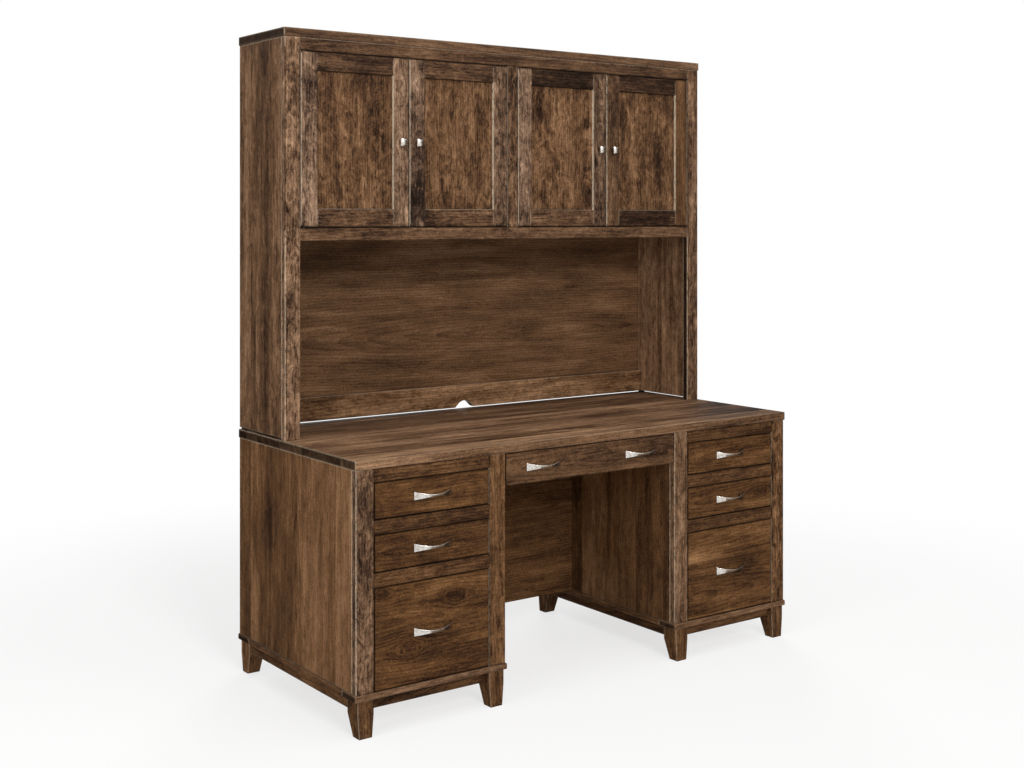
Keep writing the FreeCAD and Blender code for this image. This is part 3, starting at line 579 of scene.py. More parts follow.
    def seal(self, colour: Feed) -> None:
        """Seal the colour under lacquer that lets the grain be felt.

        Args:
            colour: The colour.
        """
        look = self.finish
        rounded = self.add("Bevel", [EASE_RADIUS], samples=4)
        gloss = self.add("MapRange", (self.streak, *STREAK_RANGE, *look.gloss))
        bump = self.add("Bump", {"Strength": GRAIN_BUMP, "Distance": look.relief * MM, "Height": self.streak,
                                 "Normal": rounded})
        lacquer = self.add("BsdfPrincipled", {"Base Color": colour, "Roughness": gloss, "Normal": bump,
                                              "Specular IOR Level": look.shine,
                                              "Specular Tint": linear(look.highlight_tint)})
        self.add("OutputMaterial", [lacquer])


# Maple stained brown and sealed with satin lacquer: it takes the stain unevenly, so dark blotches, curly
# patches and streaks show side by side; painted shade lies in crevices and on edges that face right or down, and a
# painted highlight on edges that face left or up.
STAINED = Maple(
    name="stained_maple",
    stops=((0.0, "#130b06"), (1.0, "#bb8f62"), (0.25, "#352216"), (0.5, "#63452b"), (0.75, "#8d694a")),
    # Pale colour of the painted edge highlight.
    highlight_tint="#cdbba3",
    # Near black: what the painted shade is multiplied by.
    shade_tint="#0c0a09",
    end_tint="#7a7876",
    blotch=Layer(260, 55, 0.5, 2.0, 0.5, 0.4),
    mottle=Layer(40, 26, 0.4, 6.0, 0.72, 0.9),
    streak=Layer(200, 4.0, 0.26, 4.0),
    band=Layer(420, 22, 0.62),
    fibre=Layer(6, 3.2, 0.5, 2.0),
    line=Layer(40, 2.8, 0.14, 2.0, 0.5, 0.6),
    fleck=Layer(60, 13, 0.1, 3.0, 0.6, 1.6),
    wander=0.03,
    ring_weight=0.13,
    ring_wander=0.012,
    tilt=0.07,
    stave_weight=0.15,
    highlight_weight=0.9,
    gloss=(0.36, 0.52),
    relief=0.25,
)

# The same maple on the base frames and legs, with less of the painted edge highlight.
QUIET = replace(STAINED, highlight_weight=0.4)

# Maple under clear lacquer, on the drawer boxes and runners: pale, close and even, with faint rings.
CLEAR = Maple(
    name="clear_maple",
    stops=((0.0, "#9c7a52"), (1.0, "#ead3ac"), (0.5, "#d0b184")),
    # Pale colour of the painted edge highlight.
    highlight_tint="#e6d2b0",
    # What the painted shade is multiplied by.
    shade_tint="#a89c8c",
    end_tint="#c9b79f",
    blotch=Layer(260, 80, 0.5, 3.0, 0.5, 0.3),
    mottle=Layer(40, 18, 0.25, 3.0, 0.6, 0.4),
    streak=Layer(140, 4.5, 0.5, 4.0),
    band=Layer(500, 30, 0.4),
    fibre=Layer(24, 3.2, 0.25, 2.0),
    line=Layer(60, 4.0, 0.12, 2.0, 0.5, 0.3),
    fleck=Layer(30, 9, 0.05, 2.0, 0.5, 1.0),
    wander=0.02,
    ring_weight=0.2,
    ring_wander=0.01,
    tilt=0.06,
    stave_weight=0.25,
    highlight_weight=0.3,
    gloss=(0.4, 0.55),
    relief=0.2,
)


@dataclass(frozen=True)
class BrushedMetal:
    """Metal with fine brush lines.

    Attributes:
        name: The finish's name.
        bright: Colour of the clean metal.
        dull: Colour where fingers and air have dulled it.
        pit: Colour of the small pits in its skin.
        brush: The brush marks, drawn wide enough to show.
        gloss: Lowest and highest roughness.
        relief: Depth of the brush marks in millimetres.
        haze: The dulled places.
        pits: The pits.
        worn_onset: From where to where the haze dulls the metal.
        pit_onset: From where to where a pit darkens.
        pit_weight: How much of the pits' colour shows.
        gloss_range: From where to where brush and haze together roughen the metal.
        bump: How strongly the brush marks are felt.
    """

    name: str
    bright: str
    dull: str
    pit: str
    brush: Layer
    gloss: tuple[float, float]
    relief: float
    haze: Layer = Layer(12, 9, 1.0, 3.0, 0.6, 0.5)
    pits: Layer = Layer(7, 2.6, 1.0, 2.0, 0.5)
    worn_onset: tuple[float, float] = (0.42, 0.68)
    pit_onset: tuple[float, float] = (0.58, 0.7)
    pit_weight: float = 0.45
    gloss_range: tuple[float, float] = (0.3, 1.4)
    bump: float = 0.4

    def material(self) -> Material:
        """Make the finish; the brush runs along X.

        Returns:
            The material.
        """
        graph = Graph(bpy.data.materials.new(self.name))
        here = graph.add("TexCoord").outputs["Object"]
        brush, haze, pits = (layer.draw(graph, here) for layer in (self.brush, self.haze, self.pits))
        worn = graph.add("MapRange", (haze, *self.worn_onset))
        clean = graph.add("Mix", (worn, linear(self.bright), linear(self.dull)), data_type="RGBA")
        pitted = graph.add("MapRange", (pits, *self.pit_onset, 0.0, self.pit_weight))
        colour = graph.add("Mix", (pitted, clean, linear(self.pit)), data_type="RGBA")
        both = graph.add("Math", (brush, worn), operation="ADD")
        gloss = graph.add("MapRange", (both, *self.gloss_range, *self.gloss))
        bump = graph.add("Bump", {"Strength": self.bump, "Distance": self.relief * MM, "Height": brush})
        metal = graph.add("BsdfPrincipled", {"Base Color": colour, "Metallic": 1.0, "Roughness": gloss,
                                             "Normal": bump})
        graph.add("OutputMaterial", [metal])
        return graph.owner


# Nickel plate, brushed to a satin: pale warm grey, bright where it faces the light, dark where it faces the wood.
NICKEL = BrushedMetal("brushed_satin_nickel", "#dad5ce", "#b9b1a7", "#776d62", Layer(14, 0.5, roughness=0.7),
                      (0.15, 0.25), 0.03)
# Bronzed steel of the hinges and shelf pins: dark, dull and slightly cloudy, so it stays quiet in the reveals.
STEEL = BrushedMetal("bronzed_steel", "#5a4c40", "#40362e", "#2c2520", Layer(9, 0.6, roughness=0.7),
                     (0.32, 0.5), 0.04)


@dataclass(frozen=True)
class PadRubber:
    """Black moulded rubber with a dusty bloom and a fine pebbled skin, so it looks matt and slightly grey."""

    body: str = "#1b1a19"
    bloom: str = "#3a3835"
    dust: Layer = Layer(9, 9, 1.0, 4.0, 0.7, 0.4)
    skin: Layer = Layer(1.2, 1.2, 1.0, 2.0, 0.5)
    bloom_onset: tuple[float, float] = (0.4, 0.7)
    dust_range: tuple[float, float] = (0.3, 0.7)
    gloss: tuple[float, float] = (0.7, 0.9)
    relief: float = 0.1
    bump: float = 0.4

    def material(self) -> Material:
        """Make the finish.

        Returns:
            The material.
        """
        graph = Graph(bpy.data.materials.new("moulded_pad_rubber"))
        here = graph.add("TexCoord").outputs["Object"]
        dust, skin = (layer.draw(graph, here) for layer in (self.dust, self.skin))
        amount = graph.add("MapRange", (dust, *self.bloom_onset))
        colour = graph.add("Mix", (amount, linear(self.body), linear(self.bloom)), data_type="RGBA")
        gloss = graph.add("MapRange", (dust, *self.dust_range, *self.gloss))
        bump = graph.add("Bump", {"Strength": self.bump, "Distance": self.relief * MM, "Height": skin})
        rubber = graph.add("BsdfPrincipled", {"Base Color": colour, "Roughness": gloss, "Normal": bump})
        graph.add("OutputMaterial", [rubber])
        return graph.owner


def dress(node: str, material: Material) -> None:
    """Give a CAD node its finish.

    Args:
        node: The node's name.
        material: The finish.
    """
    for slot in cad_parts[node].material_slots:
        slot.material = material
    LOG.info("dressed %s in %s", node, material.name)


def middle_of(node: str, grain: Grain) -> tuple[float, float]:
    """Find the middle of a node along and across its grain.

    Args:
        node: The node's name.
        grain: The way its grain runs.

    Returns:
        The two coordinates in metres.
    """
    low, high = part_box(node)
    middle = (low + high) / 2
    along, across, _ = grain.order
    return middle[along], middle[across]


def deselect() -> None:
    """Leave nothing selected."""
    bpy.ops.object.select_all(action="DESELECT")


class Bench:
    """Edit-mode steps on one new mesh, as by hand."""

    rounds: int = 3
    sharp: float = math.radians(38)
    smooth: float = math.radians(35)

    def __init__(self) -> None:
        """Take the object that was just added, at its size and place, into edit mode."""
        self.piece = bpy.context.active_object
        bpy.ops.object.transform_apply(location=True, rotation=True, scale=True)
        bpy.ops.object.mode_set(mode="EDIT")

    def pick(self, test: Callable[[Vector], bool], faces: bool = False) -> None:
        """Select the points, or the faces by their middles, that pass a test.

        Args:
            test: Says whether a place is wanted.
            faces: Whether faces are picked and not points.
        """
        bpy.ops.mesh.select_mode(type="FACE" if faces else "VERT")
        bpy.ops.mesh.select_all(action="DESELECT")
        shape = bmesh.from_edit_mesh(self.piece.data)
        for item in shape.faces if faces else shape.verts:
            item.select_set(test(item.calc_center_median() if faces else item.co))
        shape.select_flush_mode()
        bmesh.update_edit_mesh(self.piece.data)

    def draw_out(self, distance: float) -> None:
        """Extrude the picked faces along Y by a distance in metres."""
        bpy.ops.mesh.extrude_region_move(TRANSFORM_OT_translate={"value": (0, distance, 0)})

    def saw(self, half: float, cuts: int) -> list[float]:
        """Cut the whole shape into even slices along X.

        Args:
            half: Half the length that is cut.
            cuts: How many slices there are.

        Returns:
            The places of the cuts and both ends.
        """
        places = [half * (2 * i / cuts - 1) for i in range(cuts + 1)]
        for place in places[1:-1]:
            bpy.ops.mesh.select_all(action="SELECT")
            bpy.ops.mesh.bisect(plane_co=(place, 0, 0), plane_no=(1, 0, 0))
        return places

    def finish(self, name: str, ease: float) -> Object:
        """Round the sharp edges and leave edit mode.

        Args:
            name: The piece's name.
            ease: Width of the rounding in metres.

        Returns:
            The finished object.
        """
        bpy.ops.mesh.select_all(action="SELECT")
        bpy.ops.mesh.normals_make_consistent(inside=False)
        bpy.ops.object.mode_set(mode="OBJECT")
        self.piece.name = self.piece.data.name = name
        rounding = self.piece.modifiers.new("rounding", "BEVEL")
        rounding.width = ease
        rounding.segments = self.rounds
        rounding.limit_method = "ANGLE"
        rounding.angle_limit = self.sharp
        bpy.ops.object.modifier_apply(modifier=rounding.name)
        bpy.ops.object.shade_smooth_by_angle(angle=self.smooth)
        return self.piece


def bulge(half: float, rise: float, x: float) -> float:
    """Find how far an arc stands out.

    Args:
        half: Half the arc's chord.
        rise: The arc's height over its chord.
        x: Distance from the arc's middle.

    Returns:
        The distance from the chord to the arc, or nought past its ends.
    """
    if abs(x) >= half:
        return 0.0
    radius = (half ** 2 + rise ** 2) / (2 * rise)
    return math.sqrt(radius ** 2 - x ** 2) - (radius - rise)


def copy_to(pattern: Object, spot: Sequence[float]) -> Object:
    """Copy a piece, mesh and all, and set the copy down at a spot.

    Args:
        pattern: The piece that is copied.
        spot: How far the copy is moved, in metres.

    Returns:
        The copy, with its place in its mesh.
    """
    deselect()
    bpy.context.view_layer.objects.active = pattern
    pattern.select_set(True)
    bpy.ops.object.duplicate(linked=False)
    bpy.ops.transform.translate(value=spot)
    bpy.ops.object.transform_apply(location=True, rotation=True, scale=True)
    return bpy.context.active_object


def fit(parts: Sequence[Object], name: str, body: str, node: str) -> None:
    """Join metal parts into one piece that takes a CAD node's place.

    Args:
        parts: The parts.
        name: The piece's name.
        body: The body that it rides on.
        node: The node that it replaces.
    """
    deselect()
    for part in parts:
        part.select_set(True)
    piece = parts[0]
    bpy.context.view_layer.objects.active = piece
    bpy.ops.object.join()
    piece.name = piece.data.name = name
    piece.data.materials.clear()
    piece.data.materials.append(bpy.data.materials[NICKEL.name])
    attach(piece, body)
    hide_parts(node)
    LOG.info("built %s in place of %s", name, node)


@dataclass
class PanScrew:
    """A pan-headed screw along Y: its head's seat is at nought and its shank runs to the front."""

    length: float
    shank_radius: float = 2 * MM
    head_radius: float = 4.5 * MM
    head_height: float = 2.5 * MM
    recess_radius: float = 2.2 * MM
    recess_depth: float = 1.2 * MM
    ease: float = 0.4 * MM
    sides: int = 24

    def build(self) -> Object:
        """Model the screw.

        Returns:
            The screw.
        """
        deselect()
        bpy.ops.mesh.primitive_cylinder_add(vertices=self.sides, radius=self.head_radius, depth=self.head_height,
                                            location=(0, self.head_height / 2, 0), rotation=(math.pi / 2, 0, 0))
        bench = Bench()
        bench.pick(lambda spot: spot.y < NEAR, faces=True)
        bpy.ops.mesh.inset(thickness=self.head_radius - self.shank_radius)
        bench.draw_out(-self.length)
        bench.pick(lambda spot: spot.y > self.head_height - NEAR, faces=True)
        bpy.ops.mesh.inset(thickness=self.head_radius - self.recess_radius)
        bench.draw_out(-self.recess_depth)
        return bench.finish("screw", self.ease)


@dataclass
class StrapPull:
    """An arched strap pull that narrows to its middle, with its feet on the plane of Y nought."""

    length: float = 128 * MM
    projection: float = 25.99 * MM
    height: float = 24 * MM
    waist: float = 6 * MM
    strap: float = 4 * MM
    foot: float = 24 * MM
    spacing: float = 96 * MM
    lip: float = 1.6 * MM
    ease: float = 1.3 * MM
    cuts: int = 32

    def build(self) -> Object:
        """Model the pull: saw a block into slices, then move and narrow each slice.

        Returns:
            The pull.
        """
        half = self.length / 2
        deselect()
        bpy.ops.mesh.primitive_cube_add(size=1, location=(0, -self.projection / 2, 0),
                                        scale=(self.length, self.projection, self.height))
        bench = Bench()
        for place in bench.saw(half, self.cuts):
            outer = max(self.lip, bulge(half, self.projection, place))
            under = bulge(half - self.foot, self.projection - self.strap, place)
            bench.pick(lambda spot: abs(spot.x - place) < NEAR and spot.y < -self.projection / 2)
            bpy.ops.transform.translate(value=(0, self.projection - outer, 0))
            bench.pick(lambda spot: abs(spot.x - place) < NEAR and spot.y > -NEAR)
            if under:
                bpy.ops.transform.translate(value=(0, -under, 0))
            narrowed = self.waist + (self.height - self.waist) * (place / half) ** 2
            bench.pick(lambda spot: abs(spot.x - place) < NEAR)
            bpy.ops.transform.resize(value=(1, 1, narrowed / self.height), center_override=(place, 0, 0))
        return bench.finish("strap_pull", self.ease)


@dataclass
class SquareKnob:
    """A square knob with an arched face on a tapered neck that stands on the plane of Y nought."""

    width: float = 24 * MM
    waist: float = 19.5 * MM
    projection: float = 24 * MM
    head: float = 9 * MM
    rise: float = 4 * MM
    root: float = 12 * MM
    shoulder: float = 19 * MM
    ease: float = 0.8 * MM
    cuts: int = 12

    def build(self) -> Object:
        """Model the knob: flare a block, draw out its head and arch the face.

        Returns:
            The knob.
        """
        neck = self.projection - self.head
        deselect()
        bpy.ops.mesh.primitive_cube_add(size=1, location=(0, -neck / 2, 0), scale=(self.root, neck, self.root))
        bench = Bench()
        flare, wider = self.shoulder / self.root, self.width / self.shoulder
        bench.pick(lambda spot: spot.y < -neck + NEAR, faces=True)
        bpy.ops.transform.resize(value=(flare, 1, flare), center_override=(0, 0, 0))
        bench.draw_out(-NEAR)
        bpy.ops.transform.resize(value=(wider, 1, wider), center_override=(0, 0, 0))
        bench.draw_out(self.rise - self.head + NEAR)
        half = self.width / 2
        for place in bench.saw(half, self.cuts):
            bench.pick(lambda spot: abs(spot.x - place) < NEAR and spot.y < self.rise - self.projection + NEAR)
            bpy.ops.transform.translate(value=(0, -bulge(half, self.rise, place), 0))
            narrowed = self.waist + (self.width - self.waist) * (place / half) ** 2
            bench.pick(lambda spot: abs(spot.x - place) < NEAR and spot.y < -neck - 0.5 * NEAR)
            bpy.ops.transform.resize(value=(1, 1, narrowed / self.width), center_override=(place, 0, 0))
        return bench.finish("square_knob", self.ease)


@dataclass
class Studio:
    """The floor, the light and the camera.

    Attributes:
        camera_spot: The camera's place.
        yaw: How far the camera looks to the right, in degrees.
        lens: Its focal length in millimetres.
        sensor: Its picture's width in millimetres.
        shift: How far its picture is shifted upwards.
        floor_size: The floor's width.
        floor_drop: How far the floor lies under the object.
        floor_lift: How much of its own light the floor has under the object; further out it has all.
        floor_fade: From where to where that light grows.
        sky: Strength of the even light from all round.
        lamps: Each lamp's name, place, aim, size, power and whether reflections show it.
        card_far: How far off the cards stand.
        card_width: Their width.
        cards: Each card's direction in degrees, low and high end, and colour.
    """

    camera_spot: Triple = (-2.7424, -3.7071, 1.4185)
    yaw: float = 35.956
    lens: float = 49.6
    sensor: float = 36.0
    shift: float = -0.1606
    floor_size: float = 60.0
    floor_drop: float = 0.5 * MM
    floor_lift: float = 0.7
    floor_fade: tuple[float, float] = (1.4, 3.2)
    sky: float = 0.3
    lamps: tuple[tuple[str, Triple, Triple, float, float, bool], ...] = (
        ("left_softbox", (-4.6, -1.2, 1.9), (0.0, 0.0, 1.1), 2.4, 75.0, True),
        ("front_softbox", (-2.0, -8.0, 4.8), (0.0, 0.0, 1.0), 2.6, 398.0, True),
        ("top_softbox", (0.0, -1.6, 4.6), (0.0, 0.0, 0.8), 3.0, 60.0, True),
        ("rear_softbox", (4.2, 5.6, 2.6), (0.0, 0.0, 1.0), 3.0, 240.0, False),
    )
    card_far: float = 6.0
    card_width: float = 5.8
    cards: tuple[tuple[float, float, float, str], ...] = (
        (28.0, -10.0, 0.1, "#7d6a59"),
        (51.0, 0.1, 3.2, "#7a6857"),
        (76.0, -10.0, 3.2, "#3a2e25"),
        (124.0, -10.0, 3.2, "#3a2e25"),
        (-168.0, -10.0, 3.2, "#54463a"),
        (-120.0, -10.0, 3.2, "#54463a"),
    )

    def build(self) -> None:
        """Set the stage."""
        self.build_floor()
        self.build_sky()
        self.build_lamps()
        self.build_cards()
        self.build_camera()

    def seen_directly(self, graph: Graph) -> Node:
        """Tell the rays that the eye, a reflection or glass sends from those that carry light.

        Args:
            graph: The nodes of the floor or the surroundings.

        Returns:
            A value that is one for such a ray.
        """
        path = graph.add("LightPath").outputs
        seen = graph.add("Math", (path["Is Camera Ray"], path["Is Glossy Ray"]), operation="MAXIMUM")
        return graph.add("Math", (seen, path["Is Transmission Ray"]), operation="MAXIMUM")

    def build_floor(self) -> None:
        """Lay a plain pale floor that keeps the object's shadow."""
        deselect()
        bpy.ops.mesh.primitive_plane_add(size=self.floor_size, location=(0, 0, -self.floor_drop))
        floor = bpy.context.active_object
        floor.name = "floor"
        graph = Graph(bpy.data.materials.new("pale_floor"))
        here = graph.add("TexCoord").outputs["Object"]
        away = graph.add("VectorMath", [here], operation="LENGTH")
        far = graph.add("MapRange", (away, *self.floor_fade, self.floor_lift, 1.0), interpolation_type="SMOOTHSTEP")
        glow = graph.add("Math", (far, self.seen_directly(graph)), operation="MULTIPLY")
        grit = Layer(6, 6).draw(graph, here)
        pale = graph.add("Mix", (grit, linear("#f6f6f5"), linear("#fbfbfa")), data_type="RGBA")
        paint = graph.add("BsdfDiffuse", [pale])
        light = graph.add("Emission", [linear("#ffffff"), 1.0])
        graph.add("OutputMaterial", [graph.add("MixShader", (glow, paint, light))])
        floor.data.materials.append(graph.owner)
        floor.visible_glossy = False

    def build_sky(self) -> None:
        """Make the surroundings white to the eye and in reflections, and a soft even light elsewhere."""
        world = bpy.data.worlds.new("white_studio")
        bpy.context.scene.world = world
        graph = Graph(world)
        soft, white = (graph.add("Background", [linear("#ffffff"), strength]) for strength in (self.sky, 1.0))
        both = graph.add("MixShader", (self.seen_directly(graph), soft, white))
        graph.add("OutputWorld", [both])

    def build_lamps(self) -> None:
        """Hang a soft lamp at the left, a large far one in front, one overhead and one behind for the far sides."""
        for name, spot, aim, size, power, mirrored in self.lamps:
            light = bpy.data.lights.new(name, "AREA")
            light.size = size
            light.energy = power
            lamp = bpy.data.objects.new(name, light)
            lamp.location = spot
            lamp.rotation_euler = (Vector(aim) - Vector(spot)).to_track_quat("-Z", "Y").to_euler()
            lamp.visible_glossy = mirrored
            bpy.context.scene.collection.objects.link(lamp)

    def build_cards(self) -> None:
        """Stand brown cards that only reflections see, so that metal has a dark side and lacquer no pale haze."""
        for number, (degrees, low, high, code) in enumerate(self.cards):
            graph = Graph(bpy.data.materials.new("brown_card"))
            graph.add("OutputMaterial", [graph.add("Emission", [linear(code), 1.0])])
            deselect()
            turn = math.radians(degrees)
            spot = (self.card_far * math.sin(turn), -self.card_far * math.cos(turn), (low + high) / 2)
            bpy.ops.mesh.primitive_plane_add(size=1, location=spot, rotation=(math.pi / 2, 0, turn))
            card = bpy.context.active_object
            card.name = f"brown_card_{number + 1}"
            card.scale = (self.card_width, high - low, 1)
            card.data.materials.append(graph.owner)
            card.visible_camera = card.visible_diffuse = card.visible_shadow = False

    def build_camera(self) -> None:
        """Set the level camera where the photograph was taken from."""
        lens = bpy.data.cameras.new("camera")
        lens.sensor_width = self.sensor
        lens.lens = self.lens
        lens.shift_y = self.shift
        camera = bpy.data.objects.new("camera", lens)
        camera.location = self.camera_spot
        camera.rotation_euler = (math.radians(90), 0.0, math.radians(-self.yaw))
        bpy.context.scene.collection.objects.link(camera)
        bpy.context.scene.camera = camera
        bpy.context.scene.view_settings.view_transform = "Standard"


@dataclass
class DeskCase:
    """The desk top, both pedestals' panels and frames, and the modesty panel.

    Attributes:
        stile: Width of a face frame's stiles.
        top_edge: How far back the desk top's front edge reaches.
        top_staves: Where the desk top's staves meet.
        top_tones: Their tones.
        top_patches: Stain patches of the desk top.
        side_staves: Where the staves of a pedestal's side meet.
        outer_tones: Their tones on an outer side.
        inner_tones: Their tones on a side in the kneehole.
        rails: Low and high edge of a face frame's rails.
        frames: Each face frame's name; tones of its left and right stile and of its rails from the top down; how
            blotchy its stiles are; how full their colour is; its stain patches.
    """

    stile: float = 57 * MM
    top_edge: float = -0.3565
    top_staves: tuple[float, ...] = (-0.38, -0.275, -0.195, -0.115, -0.015, 0.1, 0.245, 0.32, 0.38)
    # The last tone, on the stave at the back under the hutch, is darkened as painted shadow.
    top_tones: tuple[float, ...] = (0.22, 0.01, 0.17, 0.06, 0.17, -0.015, 0.05, -0.14)
    top_patches: tuple[Patch, ...] = (
        Patch((0.74, -0.2, 0.75), (0.2, 0.12, 0.06), -0.31),
        Patch((0.8, -0.06, 0.75), (0.14, 0.1, 0.06), -0.22),
        Patch((0.74, -0.32, 0.75), (0.38, 0.07, 0.06), -0.22),
        Patch((0.27, -0.03, 0.75), (0.12, 0.05, 0.06), -0.18),
        Patch((-0.72, 0.0, 0.75), (0.2, 0.1, 0.06), 0.18),
        Patch((-0.24, -0.1, 0.75), (0.24, 0.06, 0.06), 0.15),
        Patch((0.12, -0.24, 0.75), (0.24, 0.06, 0.06), 0.2),
    )
    side_staves: tuple[float, ...] = (-0.36, -0.24, -0.165, -0.012, 0.12, 0.235, 0.3, 0.38)
    outer_tones: tuple[float, ...] = (0.175, 0.06, 0.12, -0.02, -0.01, 0.04, -0.04)
    inner_tones: tuple[float, ...] = (-0.07, -0.05, 0.01, 0.11, -0.02, 0.06, 0.0)
    rails: tuple[tuple[float, float], ...] = ((0.697, 0.735), (0.552, 0.593), (0.407, 0.448))
    frames: tuple[tuple[str, tuple[float, ...], tuple[float, ...], tuple[float, ...], tuple[Patch, ...]], ...] = (
        ("left", (0.05, 0.04, -0.04, -0.13, -0.03), (3.6, 2.2), (0.87, 1.0), (
            Patch((-0.8, -0.353, 0.66), (0.04, 0.05, 0.08), -0.14),
            Patch((-0.81, -0.353, 0.49), (0.04, 0.05, 0.07), -0.12),
            Patch((-0.8, -0.353, 0.2), (0.04, 0.05, 0.09), 0.08),
        )),
        ("right", (0.1, 0.01, -0.105, -0.03, -0.085), (2.4, 3.6), (0.9, 1.0), ()),
    )

    def dress(self) -> None:
        """Dress every node of the case."""
        top = Board(Grain.LEVEL_ON_TOP, 1.0, 0.04, 1.2, figure=1.9, warmth=0.9)
        edge = Board(LEVEL, 1.6, 0.11, 1.0, where=(("y", self.top_staves[0], self.top_edge),), warmth=0.92)
        STAINED.dress("desk_top", staves(top, self.top_staves, self.top_tones) + [edge], patches=self.top_patches)
        for number, (side, tones, curls, warmths, patches) in enumerate(self.frames):
            self.dress_sides(f"{side}_pedestal_sides", 2.0 + number)
            self.dress_frame(f"{side}_face_frame", 6.0 + 6 * number, tones, curls, warmths, patches)
        modesty = Board(LEVEL, 18.0, -0.04, 0.8, middle_of("modesty_panel", LEVEL), figure=0.7)
        STAINED.dress("modesty_panel", [modesty])
        STAINED.dress("pedestal_backs", [Board(UPRIGHT, 19.0)], 140.0)
        CLEAR.dress("drawer_runners", [Board(Grain.DEEP_ON_SIDE, 20.0)])

    def dress_sides(self, node: str, seed: float) -> None:
        """Dress a pedestal's outer and inner side.

        Args:
            node: The two sides.
            seed: The first stave's seed.
        """
        low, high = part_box(node)
        middle = (low.x + high.x) / 2
        panels = []
        for number, (start, stop) in enumerate(((low.x - NEAR, middle), (middle, high.x + NEAR))):
            outside = (start + stop) ** 2 > (2 * middle) ** 2
            panel = Board(Grain.UPRIGHT_ON_SIDE, seed + 2 * number, 0.0, 1.0, where=(("x", start, stop),),
                          depth=stop if number else start, figure=0.8)
            panels += staves(panel, self.side_staves, self.outer_tones if outside else self.inner_tones)
        oval = Patch((low.x, 0.167, 0.5), (0.05, 0.055, 0.1), -0.12)
        STAINED.dress(node, panels, patches=[oval])

    def dress_frame(self, node: str, seed: float, tones: Sequence[float], curls: Sequence[float],
                    warmths: Sequence[float], patches: Sequence[Patch]) -> None:
        """Dress a pedestal's face frame: upright stiles and level rails.

        Args:
            node: The face frame.
            seed: The first board's seed.
            tones: Tones of the left and right stile and of the rails from the top down.
            curls: How blotchy the left and right stile are.
            warmths: How full the left and right stile's colour is.
            patches: Stain patches.
        """
        low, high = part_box(node)
        inner, outer = low.x + self.stile, high.x - self.stile
        boards = [
            Board(UPRIGHT, seed, tones[0], curls[0], (0.4, low.x), figure=0.5, warmth=warmths[0]),
            Board(UPRIGHT, seed + 1, tones[1], curls[1], (0.4, high.x), (("x", outer, high.x + NEAR),),
                  figure=0.6, warmth=warmths[1]),
        ]
        for number, (under, over) in enumerate(self.rails, start=2):
            boards.append(Board(LEVEL, seed + number, tones[number], 1.4, (inner, under - 0.03),
                                (("x", inner, outer), ("z", under - NEAR, over + NEAR)), figure=0.8))
        # Painted shadow on the edges round the drawer openings, and a painted highlight on the right stile's walls
        # that face left into them.
        STAINED.dress(node, boards, patches=patches, dark_rims=[(("x", inner - GAP_RIM, outer + GAP_RIM),)],
                      pale_walls=[(("x", outer - MM, outer + MM), ("y", low.y - NEAR, low.y + HIGHLIGHT_DEPTH))])


@dataclass
class Feet:
    """The base frames, the aprons below them and the tapered legs."""

    board: float = 73 * MM
    leg: float = 57 * MM

    def dress(self) -> None:
        """Dress the base frames, aprons and legs."""
        low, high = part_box("base_frames")
        front, back = ("y", low.y - NEAR, low.y + self.board), ("y", high.y - self.board, high.y + NEAR)
        QUIET.dress("base_frames", [
            Board(Grain.DEEP_ON_SIDE, 21.0, -0.05),
            Board(LEVEL, 22.0, 0.06, 1.2, where=(front,), warmth=0.9),
            Board(LEVEL, 22.4, 0.13, 1.2, where=(front, ("x", 0.0, 1.0)), warmth=0.92),
            Board(LEVEL, 23.0, where=(back,)),
        ])
        low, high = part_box("base_aprons")
        STAINED.dress("base_aprons", [
            Board(Grain.DEEP_ON_SIDE, 24.0, -0.1),
            Board(LEVEL, 25.0, -0.1, where=(("y", low.y - NEAR, low.y + self.leg / 2),)),
            Board(LEVEL, 26.0, -0.1, where=(("y", high.y - self.leg / 2, high.y + NEAR),)),
        ])
        QUIET.dress("legs", [Board(UPRIGHT, 27.0, mottle=1.6)])


